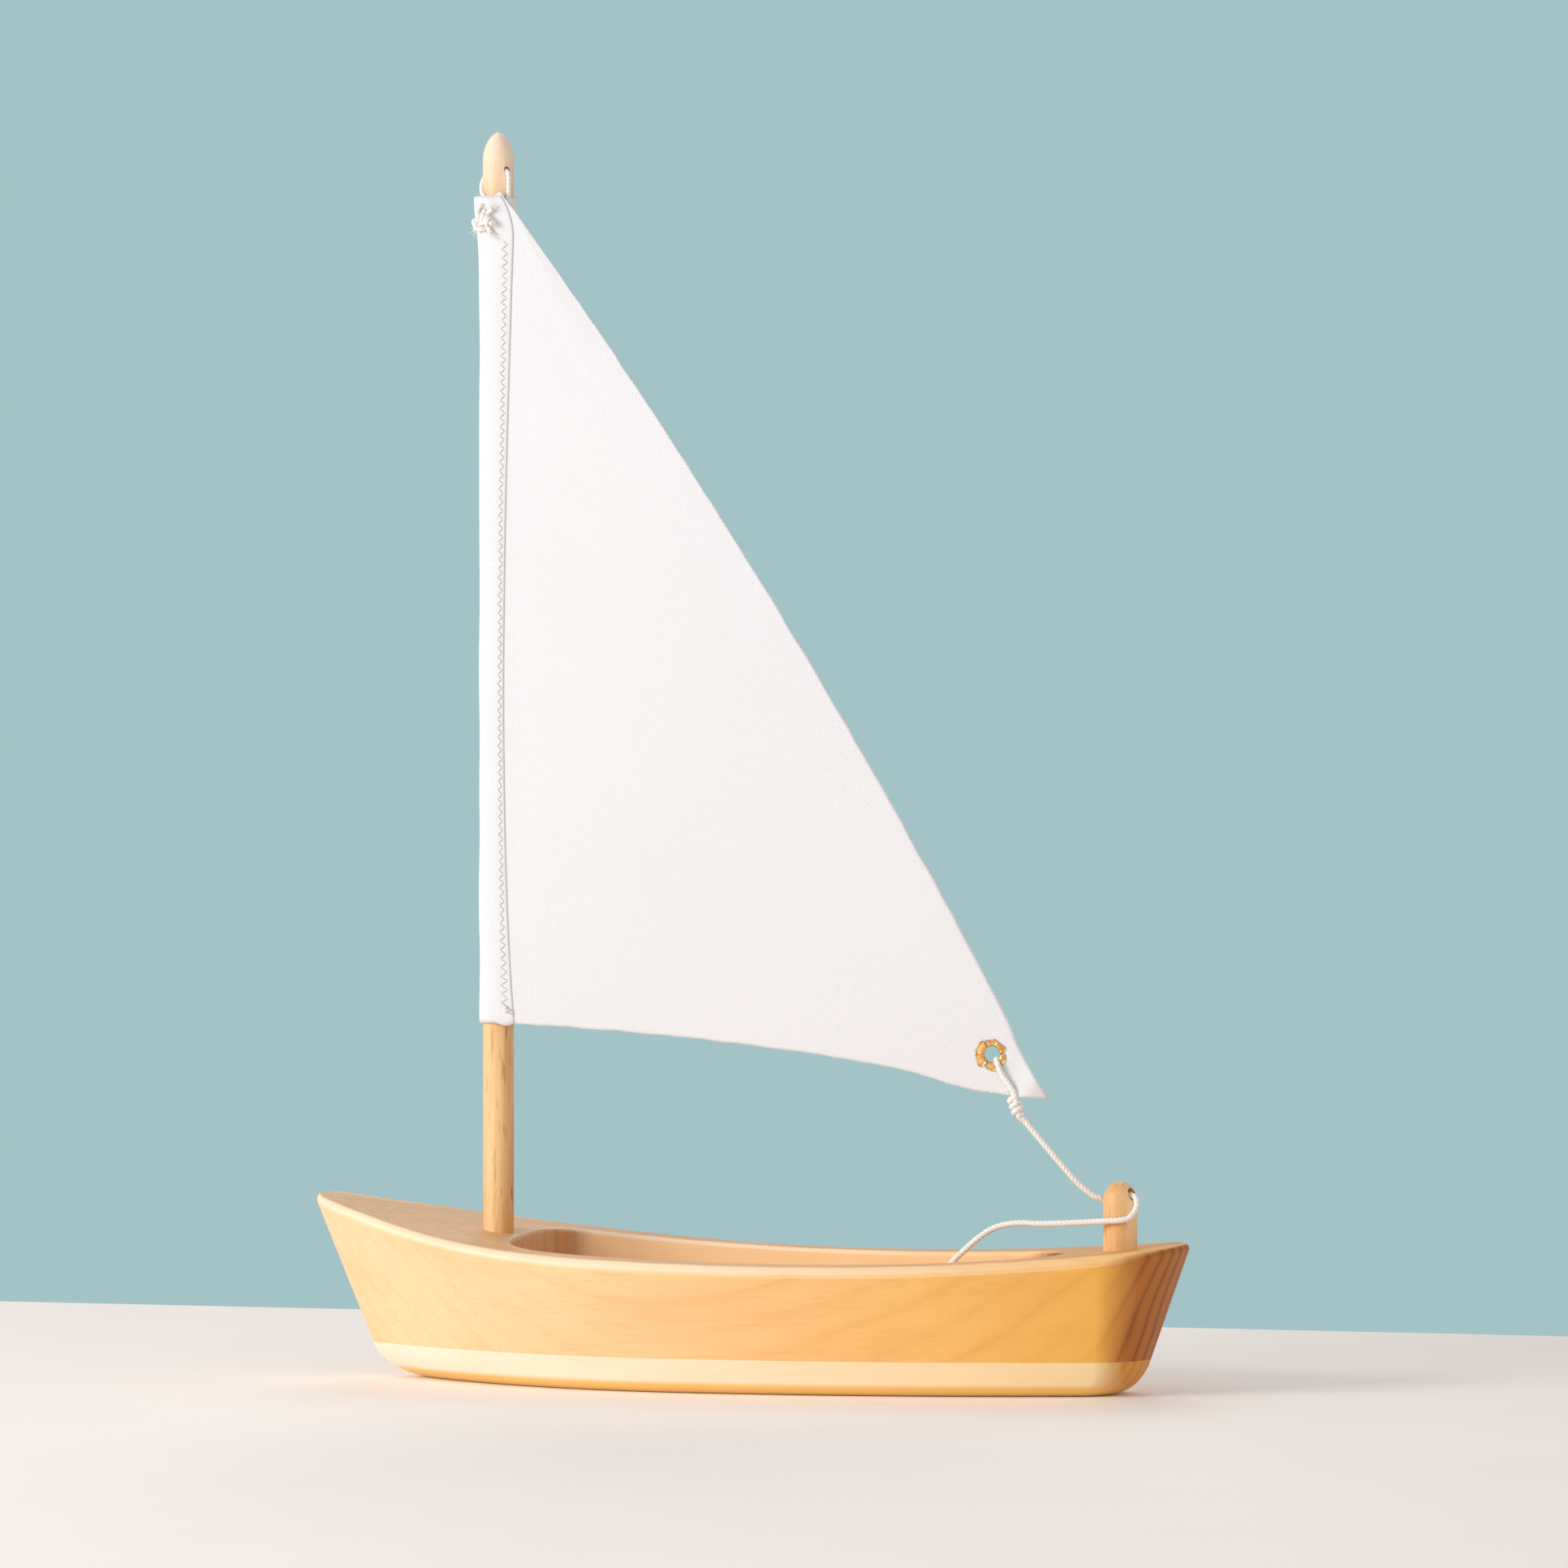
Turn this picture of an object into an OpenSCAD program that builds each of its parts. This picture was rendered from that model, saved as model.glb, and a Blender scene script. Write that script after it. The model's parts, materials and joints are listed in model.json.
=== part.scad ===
// Wooden toy sailing boat: a solid flared hull on a glued bottom board, a dowel mast,
// a canvas sail with a sewn luff sleeve, and one cord each for halyard and sheet.
// Millimetres. +X points to the bow, +Y to port, +Z up. The origin lies on the flat
// bottom, on the centre plane, midway between bow tip and stern.

/* [Hull] */
// Overall length at deck level
hull_l = 289; // [270:1:310]
// Height of the deck at the bow tip
bow_h = 59.8; // [54:0.2:68]
// Height of the deck at its lowest point
mid_h = 41.4; // [36:0.2:46]
// Height of the deck at the stern
stern_h = 47.7; // [44:0.1:54]
// How far aft of midships the deck is lowest
low_aft = 31; // [15:1:40]
// Outward flare of the sides, per unit of height
flare = 0.372; // [0.30:0.002:0.42]
// Extra flare at the bow and missing flare at the stern, per unit of height
rake = 0.024; // [0:0.002:0.05]
// Thickness of the bottom board
board_t = 11.3; // [8:0.1:14]
// Height of the eased lower edge of the board
ease_h = 3.9; // [2:0.1:6]
// How far the eased edge runs in under the board
ease_w = 4.4; // [2:0.1:6]
// How much further the board's bow is sanded back
bow_ease = 8; // [4:0.5:10]
// How much further the board's stern is sanded back
stern_ease = 5; // [2:0.5:8]

/* [Cockpit] */
// Distance from midships to the front of the cockpit
cockpit_front_x = 75; // [68:0.5:75.5]
// Radius of its blunt front
cockpit_front_r = 120; // [60:5:150]
// Radius of its front corners
cockpit_corner_r = 20.5; // [16:0.5:22]
// Radius of its long curved sides
cockpit_side_r = 300; // [280:5:340]
// Radius of its narrow aft end
cockpit_tail_r = 20; // [16:1:24]

/* [Mast and post] */
// Mast position forward of midships
mast_x = 83; // [78:0.5:88]
// Mast diameter
mast_d = 10; // [9:0.1:12]
// Height of the mast tip above the bottom
mast_top = 402; // [396:1:420]
// Length of the rounded point of the mast
mast_nose = 9; // [6:0.5:14]
// Sheet post position aft of midships
post_aft = 122; // [118:0.5:124]
// Sheet post diameter
post_d = 10.8; // [9:0.1:12]
// Height of the sheet post's top above the bottom
post_top = 67; // [64:0.5:72]
// Length of the post's domed end
post_nose = 6.5; // [4:0.5:8]
// Depth of the blind holes that hold mast and post
socket_depth = 28; // [15:1:30]

/* [Sail] */
// Height of the sail's foot at the mast
luff_low = 115; // [110:1:120]
// Height of the sail's head at the mast
luff_high = 381; // [376:1:384]
// How far the clew's tip lies aft of the mast
clew_out = 183.5; // [178:0.5:188]
// Height of the clew's tip
clew_h = 92.8; // [90:0.2:100]
// Width of the head beside the mast
head_w = 2.5; // [2:0.5:5]
// Outward bulge of the aft edge
leech_bulge = 7; // [3:0.2:8]
// Upward hollow of the lower edge
foot_hollow = 4; // [1:0.2:6]
// Thickness of the canvas
cloth_t = 0.6; // [0.4:0.05:0.8]
// Eyelet distance forward of the clew's tip
eyelet_in = 18.5; // [16:0.5:22]
// Eyelet distance above the clew's tip
eyelet_up = 13.9; // [12:0.2:18]

/* [Cords] */
// Diameter of halyard and sheet
cord_d = 2; // [1.6:0.1:2.2]

/* [Hidden] */

wood = [0.90, 0.70, 0.42];
pale_wood = [0.95, 0.80, 0.56];
dowel_wood = [0.86, 0.64, 0.40];
canvas = [0.95, 0.95, 0.94];
thread = [0.85, 0.85, 0.84];
cotton = [0.92, 0.90, 0.86];
brass = [0.78, 0.60, 0.28];

// Shape of half the outline where block and board meet: [radius, degrees turned] for
// each arc, from the bow tip aft. The last two arcs, stern corner and transom, turn
// as far as it takes to end square on the centre plane.
nose_arc = [3.8, 53];
entry_arc = [178, 38];
quarter_arc = [480, 16];
corner_r = 21;
transom_r = 70;

low_x = -low_aft;
post_x = -post_aft;
seam_bow = hull_l / 2 - (flare + rake) * (bow_h - board_t);
seam_stern = -hull_l / 2 + (flare - rake) * (stern_h - board_t);

mast_r = mast_d / 2;
post_r = post_d / 2;
glue_gap = 0.05;
deck_cut_w = 160;
slice = 0.01;
rounding = 96;

sleeve_r_in = mast_r + 0.3;
sleeve_r_out = sleeve_r_in + cloth_t;
sail_y = sleeve_r_in + 0.1;
flap_w = 7;
flap_short = 6;
head_rise = 1.3;
clew_x = mast_x - clew_out;
eyelet_x = clew_x + eyelet_in;
eyelet_z = clew_h + eyelet_up;
eyelet_hole_r = 2.6;
eyelet_tube_r = 3;
eyelet_rim_r = 5.1;
eyelet_rim_t = 0.45;

stitch_x = mast_x - 4.7;
stitch_half_w = 1.2;
stitch_pitch = 2.9;
stitch_thread = 0.5;
stitch_margin = 3;

cord_r = cord_d / 2;
cord_joint_r = cord_r * 1.11;
cord_gap = 0.2;
halyard_hole_r = cord_r + 0.15;
halyard_drop = 12.5;
halyard_turn = 142;
sheet_hole_r = 2.1;
sheet_hole_drop = 4;
sheet_turn = 158;
sheet_hole_z = post_top - sheet_hole_drop;
tail_pivot = [post_x + 10, post_r + cord_r + cord_gap, sheet_hole_z - 8.7];

// ---- outline made of arcs -------------------------------------------------------

function polar(r, a) = [r * cos(a), r * sin(a)];

// Polar angle at which arc i starts; all arcs before it have turned that far.
function start_angle(arcs, i) = i == 0 ? 0 : start_angle(arcs, i - 1) + arcs[i - 1][1];

// Centre of arc i: each centre lies on the line through the joint and the last centre.
function centre(arcs, i) = i == 0 ? [-arcs[0][0], 0] :
    centre(arcs, i - 1) + polar(arcs[i - 1][0] - arcs[i][0], start_angle(arcs, i));

// Points of half an outline that starts at [0, 0], grown outwards by g.
function half_outline(arcs, g, steps) = [
    for (i = [0 : len(arcs) - 1])
        for (k = [0 : steps[i] - 1])
            centre(arcs, i)
            + polar(arcs[i][0] + g, start_angle(arcs, i) + arcs[i][1] * k / steps[i])
];

// Both halves: the points off the centre plane, and their mirror images.
function whole_outline(arcs, g, steps) =
    let (half = [for (p = half_outline(arcs, g, steps)) if (p.y > slice) p],
         last = centre(arcs, len(arcs) - 1) - [arcs[len(arcs) - 1][0] + g, 0],
         tip = half_outline(arcs, g, steps)[0])
    concat(arcs[0][0] + g > 0 ? [tip] : [],
           half,
           [last],
           [for (i = [len(half) - 1 : -1 : 0]) [half[i].x, -half[i].y]]);

// Hull outline: the corner arc turns until its end points at the transom's centre.
side_arcs = [nose_arc, entry_arc, quarter_arc, [corner_r, 0]];
side_turn = start_angle(side_arcs, 3);
transom_turn = asin(centre(side_arcs, 3).y / (transom_r - corner_r));
hull_arcs = [nose_arc, entry_arc, quarter_arc,
             [corner_r, 180 - side_turn - transom_turn], [transom_r, transom_turn]];
outline_l = transom_r - centre(hull_arcs, 4).x;
outline_k = (seam_bow - seam_stern) / outline_l;
hull_steps = [5, 20, 10, 8, 4];

// Hull outline at height z, moved out with the flare, forward with the rake, in by inset.
module hull_slice(z, inset = 0) {
    translate([seam_bow + rake * (z - board_t), 0, z])
        linear_extrude(slice)
            scale(outline_k)
                polygon(whole_outline(hull_arcs, (flare * (z - board_t) - inset) / outline_k,
                                      hull_steps));
}

// ---- hull -----------------------------------------------------------------------

// Radius of the deck's curve from its lowest point to a given rise at a given run.
function sheer_r(run, rise) = (run * run + rise * rise) / (2 * rise);
sheer_fore_r = sheer_r(hull_l / 2 - low_x, bow_h - mid_h);
sheer_aft_r = sheer_r(hull_l / 2 + low_x, stern_h - mid_h);

// Height of the deck at x.
function deck_z(x) =
    let (r = x > low_x ? sheer_fore_r : sheer_aft_r)
    mid_h + r - sqrt(r * r - (x - low_x) * (x - low_x));

// Everything above the deck: two lengthwise curves that meet at the lowest point.
module above_deck() {
    for (side = [1, -1]) {
        r = side > 0 ? sheer_fore_r : sheer_aft_r;
        intersection() {
            translate([low_x, 0, mid_h + r])
                rotate([90, 0, 0])
                    cylinder(h = deck_cut_w, r = r, center = true, $fn = 720);
            translate([side > 0 ? low_x : low_x - hull_l, -deck_cut_w, 0])
                cube([hull_l, 2 * deck_cut_w, 2 * bow_h]);
        }
    }
}

// Egg-shaped cockpit: blunt front, round corners, long sides, narrower round aft end. The
// side arc turns until the aft end's centre lies on the centre plane.
cockpit_front_turn = 6;
cockpit_corner_turn = 74.4;
cockpit_front = [[cockpit_front_r, cockpit_front_turn], [cockpit_corner_r, cockpit_corner_turn],
                 [cockpit_side_r, 0]];
side_end = 90 + acos(-centre(cockpit_front, 2).y / (cockpit_side_r - cockpit_tail_r));
cockpit_arcs = [cockpit_front[0], cockpit_front[1],
                [cockpit_side_r, side_end - start_angle(cockpit_front, 2)],
                [cockpit_tail_r, 180 - side_end]];
cockpit_steps = [4, 9, 12, 8];

module cockpit_hole() {
    translate([cockpit_front_x, 0, 0])
        linear_extrude(2 * bow_h)
            polygon(whole_outline(cockpit_arcs, 0, cockpit_steps));
}

// Blind hole for a dowel, from depth below the deck upwards.
module socket(x, r) {
    translate([x, 0, deck_z(x) - socket_depth])
        cylinder(h = socket_depth + bow_h, r = r + glue_gap, $fn = rounding);
}

module hull_block() {
    color(wood)
        difference() {
            hull() {
                hull_slice(board_t);
                hull_slice(bow_h + 1);
            }
            above_deck();
            cockpit_hole();
            socket(mast_x, mast_r);
            socket(post_x, post_r);
        }
}

// Bottom board: the flare carries on down, then the edge curves in to the flat bottom. Its
// ends are sanded back further, along a parabola that starts at end_ease_h.
end_ease_h = 10;
end_heights = [board_t - slice, 8, 6];
ease_steps = 4;

module board_slice(z, inset = 0) {
    share = pow(max(0, 1 - z / end_ease_h), 2);
    stern_in = seam_stern + stern_ease * share;
    bow_in = seam_bow - bow_ease * share;
    translate([stern_in, 0, 0])
        scale([(bow_in - stern_in) / (seam_bow - seam_stern), 1, 1])
            translate([-seam_stern, 0, 0])
                hull_slice(z, inset);
}

module bottom_board() {
    color(pale_wood)
        hull() {
            for (z = end_heights)
                board_slice(z);
            for (k = [0 : ease_steps]) {
                a = 90 * k / ease_steps;
                board_slice(ease_h * (1 - sin(a)), ease_w * (1 - cos(a)));
            }
        }
}

// ---- dowels ---------------------------------------------------------------------

// Outline of a dowel's rounded end: half an ellipse of the given length, more pointed the
// higher the power is above 1.
function nose_profile(r, length, power, steps) = [
    for (k = [0 : steps])
        [r * pow(max(0, cos(90 * k / steps)), power), length * sin(90 * k / steps)]
];

// Dowel standing on the floor of its socket, with a rounded top.
module dowel(x, r, top, nose, power) {
    floor_z = deck_z(x) - socket_depth;
    translate([x, 0, floor_z])
        rotate_extrude($fn = rounding)
            polygon(concat([[0, 0], [r, 0]],
                           [for (p = nose_profile(r, nose, power, 8)) p + [0, top - nose - floor_z]]));
}

module mast() {
    color(dowel_wood)
        difference() {
            dowel(mast_x, mast_r, mast_top, mast_nose, 1.25);
            translate([mast_x, 0, mast_top - halyard_drop])
                rotate([0, 90, halyard_turn])
                    cylinder(h = 4 * mast_r, r = halyard_hole_r, center = true, $fn = 32);
        }
}

module sheet_post() {
    color(dowel_wood)
        difference() {
            dowel(post_x, post_r, post_top, post_nose, 1);
            translate([post_x, 0, sheet_hole_z])
                rotate([0, 90, sheet_turn])
                    cylinder(h = 4 * post_r, r = sheet_hole_r, center = true, $fn = 32);
        }
}

// ---- sail -----------------------------------------------------------------------

// Points from a to b, bowed sideways by bulge (to the left, walking from a to b).
function bowed(a, b, bulge, steps) = [
    for (k = [0 : steps])
        let (t = k / steps,
             along = (b - a) / norm(b - a))
        a + (b - a) * t + [-along.y, along.x] * bulge * 4 * t * (1 - t)
];

// Canvas panel in the X-Z plane, from the mast's axis to the clew.
module sail_panel() {
    head = [mast_x - head_w, luff_high + head_rise];
    clew = [clew_x, clew_h];
    tack = [mast_x, luff_low];
    translate([0, sail_y + cloth_t, 0])
        rotate([90, 0, 0])
            linear_extrude(cloth_t)
                difference() {
                    polygon(concat([[mast_x, luff_high]],
                                   bowed(head, clew, -leech_bulge, 12),
                                   bowed(clew, tack, foot_hollow, 8)));
                    translate([eyelet_x, eyelet_z])
                        circle(r = eyelet_tube_r, $fn = 48);
                }
}

// Sleeve around the mast, and the sewn-down flap beside it.
module luff_sleeve() {
    translate([mast_x, 0, luff_low])
        linear_extrude(luff_high - luff_low)
            difference() {
                circle(r = sleeve_r_out, $fn = rounding);
                circle(r = sleeve_r_in, $fn = rounding);
            }
    translate([mast_x - flap_w, sail_y, luff_low])
        cube([flap_w, 2 * cloth_t, luff_high - luff_low - flap_short]);
}

module sail() {
    color(canvas) {
        sail_panel();
        luff_sleeve();
    }
}

// Zigzag thread that holds the flap, lying on its port face.
module luff_stitching() {
    count = floor((luff_high - luff_low - flap_short - 2 * stitch_margin) / stitch_pitch * 2);
    zigzag = [for (i = [0 : count])
        [stitch_x + (i % 2 == 0 ? stitch_half_w : -stitch_half_w),
         luff_low + stitch_margin + i * stitch_pitch / 2]];
    color(thread)
        translate([0, sail_y + 2 * cloth_t + stitch_thread / 2, 0])
            rotate([90, 0, 0])
                linear_extrude(stitch_thread / 2)
                    polygon(concat(zigzag,
                                   [for (i = [count : -1 : 0]) zigzag[i] + [stitch_thread, 0]]));
}

// Brass eyelet: a short tube through the canvas with a rim on each face.
module clew_eyelet() {
    half_t = cloth_t / 2;
    color(brass)
        translate([eyelet_x, sail_y + half_t, eyelet_z])
            rotate([90, 0, 0])
                rotate_extrude($fn = 64)
                    polygon([[eyelet_hole_r, -half_t - eyelet_rim_t],
                             [eyelet_rim_r, -half_t - eyelet_rim_t],
                             [eyelet_rim_r, -half_t],
                             [eyelet_tube_r, -half_t],
                             [eyelet_tube_r, half_t],
                             [eyelet_rim_r, half_t],
                             [eyelet_rim_r, half_t + eyelet_rim_t],
                             [eyelet_hole_r, half_t + eyelet_rim_t]]);
}

// ---- cords ----------------------------------------------------------------------

// Round cord from a to b.
module strand(a, b) {
    d = b - a;
    translate(a)
        rotate([0, acos(d.z / norm(d)), atan2(d.y, d.x)])
            cylinder(h = norm(d), r = cord_r, $fn = 24);
}

// Cord along a path, with a ball at each bend, turned so its seam misses the strands.
module cord(path) {
    for (i = [0 : len(path) - 2])
        strand(path[i], path[i + 1]);
    for (p = path)
        translate(p)
            rotate([25, 0, 50])
                sphere(r = cord_joint_r, $fn = 24);
}

// A point beside an upright dowel at x, at distance r and angle a, at height z.
function beside(x, r, a, z) = [x + r * cos(a), r * sin(a), z];

// Halyard: down the mast's aft port side, through the mast, and round its front.
module halyard() {
    hole_z = mast_top - halyard_drop;
    low_z = luff_high + head_rise + cord_r + cord_gap;
    r = mast_r + cord_r + cord_gap;
    front_turn = 80;
    color(cotton)
        cord(concat([beside(mast_x, r, halyard_turn, low_z),
                     beside(mast_x, r, halyard_turn, hole_z)],
                    [for (t = [0 : 0.25 : 1])
                        beside(mast_x, r, halyard_turn - 180 + front_turn * t,
                               hole_z + (low_z - hole_z) * t)]));
}

// Knot and loose ends of the halyard on the front of the sleeve.
module halyard_knot() {
    a = halyard_turn - 100;
    r = sleeve_r_out + cord_d + cord_gap / 2;
    top_z = luff_high - 1.5;
    knot_z = luff_high - 8;
    end_z = knot_z - 6;
    color(cotton) {
        translate(beside(mast_x, r, a, knot_z))
            sphere(r = cord_d, $fn = 32);
        cord([beside(mast_x, r - cord_r, a, top_z),
              beside(mast_x, r, a, knot_z),
              beside(mast_x, r, a - 10, end_z)]);
    }
}

// Path of the sheet's running part, from the clew knot down to the post's fore mouth.
knot_aft = 7.7;
knot_drop = 4.4;
knot_r = cord_d * 1.15;
knot_at = [eyelet_x - knot_aft, sail_y + cloth_t / 2, clew_h - knot_drop];
hole_mouth = beside(post_x, post_r + 1, sheet_turn - 180, sheet_hole_z);
sheet_sag = 5;
function running(t) = knot_at + (hole_mouth - knot_at) * t - [0, 0, sheet_sag * 4 * t * (1 - t)];

// Sheet from its loop through the eyelet, past the knot, half way to the post.
module sheet_clew_end() {
    through = [eyelet_x - 0.7, sail_y + cloth_t / 2, eyelet_z - 1.3];
    off_face = [0, cloth_t / 2 + eyelet_rim_t + cord_r + cord_gap / 2, 0];
    loop_low = knot_at + [1.2, 0, 5];
    pinch = 0.9;
    color(cotton) {
        cord([knot_at, loop_low + off_face * pinch, through + off_face, through - off_face,
              loop_low - off_face * pinch, knot_at]);
        translate(knot_at)
            sphere(r = knot_r, $fn = 32);
        cord([for (t = [0 : 0.15 : 0.45]) running(t)]);
    }
}

// Sheet from half way, through the post's hole, and round its port side.
module sheet_post_turn() {
    turn_r = post_r + cord_r + 1.5 * cord_gap;
    slack = 0.6;
    aft_angle = sheet_turn - 12;
    port_angle = 90;
    first_z = sheet_hole_z - 2;
    last_z = tail_pivot.z + 0.3;
    color(cotton)
        cord(concat([for (t = [0.55 : 0.15 : 1]) running(t)],
                    [beside(post_x, turn_r, sheet_turn, sheet_hole_z)],
                    [for (t = [0 : 0.2 : 1])
                        beside(post_x, turn_r + slack * (1 - t),
                               aft_angle + (port_angle - aft_angle) * t,
                               first_z + (last_z - first_z) * t)],
                    [tail_pivot - [2 * cord_joint_r + cord_gap, 0, 0]]));
}

// Loose end of the sheet: level at first, then curving down into the cockpit.
tail_reach = 48;
tail_fall = 18.5;
tail_fall_power = 4.4;
tail_side = 2;

module sheet_tail() {
    color(cotton)
        cord([for (t = [0, 0.55, 0.8, 1])
            tail_pivot
            + [tail_reach * t, tail_side * t * t, -tail_fall * pow(t, tail_fall_power)]]);
}

// ---- nodes ----------------------------------------------------------------------

hull_block();
bottom_board();
mast();
sheet_post();
sail();
luff_stitching();
clew_eyelet();
halyard();
halyard_knot();
sheet_clew_end();
sheet_post_turn();
sheet_tail();
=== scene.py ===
"""Looks of a wooden toy sailing boat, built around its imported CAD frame.

Lengths are in metres, in the part's own frame: +X to the bow, +Y to port, +Z up, origin on the
flat bottom.
"""

import json
import math
import random

import bpy
import numpy as np
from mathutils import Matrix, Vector


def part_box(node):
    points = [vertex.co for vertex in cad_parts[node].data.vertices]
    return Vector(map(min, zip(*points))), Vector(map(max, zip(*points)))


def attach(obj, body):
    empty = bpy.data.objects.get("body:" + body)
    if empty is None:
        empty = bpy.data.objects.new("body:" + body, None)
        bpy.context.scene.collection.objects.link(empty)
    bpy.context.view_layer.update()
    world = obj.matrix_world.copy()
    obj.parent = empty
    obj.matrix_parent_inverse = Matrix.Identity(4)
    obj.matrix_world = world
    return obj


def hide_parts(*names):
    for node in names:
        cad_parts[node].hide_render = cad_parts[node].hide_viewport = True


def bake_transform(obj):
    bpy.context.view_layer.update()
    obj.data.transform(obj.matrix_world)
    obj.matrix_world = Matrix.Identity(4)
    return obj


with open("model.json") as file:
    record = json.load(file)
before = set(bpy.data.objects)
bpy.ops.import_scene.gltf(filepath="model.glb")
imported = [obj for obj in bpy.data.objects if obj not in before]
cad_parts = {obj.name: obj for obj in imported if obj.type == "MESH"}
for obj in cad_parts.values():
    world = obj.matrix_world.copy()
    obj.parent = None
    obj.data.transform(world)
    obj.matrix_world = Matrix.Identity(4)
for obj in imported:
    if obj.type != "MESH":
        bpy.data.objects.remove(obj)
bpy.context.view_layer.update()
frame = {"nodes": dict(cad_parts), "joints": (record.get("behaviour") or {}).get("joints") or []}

MM = 0.001
SEED = 7

# ---- dimensions read from the CAD frame ----

block_lo, block_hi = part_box("hull_block")
board_lo, board_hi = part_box("bottom_board")
mast_lo, mast_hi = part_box("mast")
post_lo, post_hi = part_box("sheet_post")
sail_lo, sail_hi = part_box("sail")
eyelet_lo, eyelet_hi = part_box("clew_eyelet")
stitch_lo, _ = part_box("luff_stitching")
tail_lo, tail_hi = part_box("sheet_tail")

# How far the hull's side leans out per unit of height.
FLARE = 0.372
bow_h = block_hi.z
seam_z = board_hi.z
rake = (block_hi.x - board_hi.x) / (bow_h - seam_z) - FLARE
stern_h = seam_z + (board_lo.x - block_lo.x) / (FLARE - rake)

mast_x = (mast_lo.x + mast_hi.x) / 2
mast_r = (mast_hi.x - mast_lo.x) / 2
post_x = (post_lo.x + post_hi.x) / 2
post_r = (post_hi.x - post_lo.x) / 2
eyelet = (eyelet_lo + eyelet_hi) / 2
eyelet_r = (eyelet_hi.x - eyelet_lo.x) / 2

tail_joint = next(joint for joint in frame["joints"] if joint["name"] == "tail_swing")
tail_pivot = Vector(tail_joint["pos_m"])


# ---- small tools ----

def mm(x, y, z):
    """Vector from coordinates in millimetres."""
    return Vector((x, y, z)) * MM


def make_mesh(name, vertices, faces, material, smooth=True):
    """New mesh object from lists of points and faces."""
    mesh = bpy.data.meshes.new(name)
    mesh.from_pydata([tuple(v) for v in vertices], [], faces)
    mesh.validate()
    mesh.update()
    mesh.polygons.foreach_set("use_smooth", [smooth] * len(mesh.polygons))
    obj = bpy.data.objects.new(name, mesh)
    bpy.context.scene.collection.objects.link(obj)
    mesh.materials.append(material)
    return obj


def grid_faces(rows, columns, closed=False):
    """Quads between neighbouring points of a grid stored row by row."""
    last = columns if closed else columns - 1
    faces = []
    for i in range(rows - 1):
        for j in range(last):
            k = (j + 1) % columns
            here, beyond = i * columns, (i + 1) * columns
            faces.append((here + j, here + k, beyond + k, beyond + j))
    return faces


def looped_faces(rows, columns):
    """Quads of a grid whose last row and column join its first."""
    count = rows * columns
    return [tuple(v % count for v in face) for face in grid_faces(rows + 1, columns, closed=True)]


def capped_faces(rows, columns):
    """Quads of a grid closed to a tube, and a face over each of its ends."""
    last = (rows - 1) * columns
    ends = [tuple(reversed(range(columns))), tuple(range(last, last + columns))]
    return grid_faces(rows, columns, closed=True) + ends


def apply_modifiers(obj):
    """Replaces an object's mesh with what its modifiers make of it."""
    depsgraph = bpy.context.evaluated_depsgraph_get()
    final = bpy.data.meshes.new_from_object(obj.evaluated_get(depsgraph))
    obj.modifiers.clear()
    obj.data = final


def thicken(obj):
    """Gives a sheet of cloth its thickness."""
    thick = obj.modifiers.new("thickness", "SOLIDIFY")
    thick.thickness, thick.offset = CLOTH_T, 0.0
    apply_modifiers(obj)


def distance_along(path):
    """Distance from the start of a path to each of its points."""
    steps = np.linalg.norm(np.diff(path, axis=0), axis=1)
    return np.concatenate([[0], np.cumsum(steps)])


def smooth_path(points, step=0.35 * MM):
    """Evenly spaced points along a smooth curve through the given ones."""
    p = np.array([tuple(q) for q in points], float)
    p = np.vstack([2 * p[0] - p[1], p, 2 * p[-1] - p[-2]])
    dense = []
    for i in range(1, len(p) - 2):
        t = np.linspace(0, 1, 24, endpoint=False)[:, None]
        a, b, c, d = p[i - 1], p[i], p[i + 1], p[i + 2]
        dense.append(0.5 * (2 * b + (c - a) * t + (2 * a - 5 * b + 4 * c - d) * t**2
                            + (3 * b - a - 3 * c + d) * t**3))
    dense = np.vstack(dense + [p[-2][None]])
    length = distance_along(dense)
    at = np.linspace(0, length[-1], max(2, int(length[-1] / step)))
    return np.stack([np.interp(at, length, dense[:, k]) for k in range(3)], axis=1)


def transported_frames(path):
    """Two normals at each point of a path, carried along without twisting."""
    tangents = np.gradient(path, axis=0)
    tangents /= np.linalg.norm(tangents, axis=1)[:, None]
    normal = np.cross(tangents[0], [0.3, 0.5, 0.8])
    normals = []
    for tangent in tangents:
        normal = normal - tangent * (normal @ tangent)
        normal = normal / np.linalg.norm(normal)
        normals.append(normal)
    normals = np.array(normals)
    return normals, np.cross(tangents, normals)


def tube(path, radius, sides):
    """Closed tube of the given radius (one number, or one per point) along a path."""
    normals, sideways = transported_frames(path)
    radius = np.broadcast_to(radius, len(path))
    angles = np.linspace(0, 2 * math.pi, sides, endpoint=False)
    rings = [path[i] + radius[i] * (math.cos(a) * normals[i] + math.sin(a) * sideways[i])
             for i in range(len(path)) for a in angles]
    return rings, capped_faces(len(path), sides)


def join(parts):
    """One list of points and faces from several."""
    vertices, faces = [], []
    for part_vertices, part_faces in parts:
        first = len(vertices)
        vertices.extend(part_vertices)
        faces.extend(tuple(first + k for k in face) for face in part_faces)
    return vertices, faces


def bump_at(t, centre, width):
    """Smooth bump of height 1 round centre."""
    return math.exp(-(((t - centre) / width) ** 2))


# ---- materials ----

# Numbers of a colour mix node's sockets.
COLOUR_A, COLOUR_B, MIXED = 6, 7, 2


def srgb(red, green, blue):
    """Display colour, each part from 11 to 255, as a linear colour."""
    return tuple(((c / 255 + 0.055) / 1.055) ** 2.4 for c in (red, green, blue)) + (1,)


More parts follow.
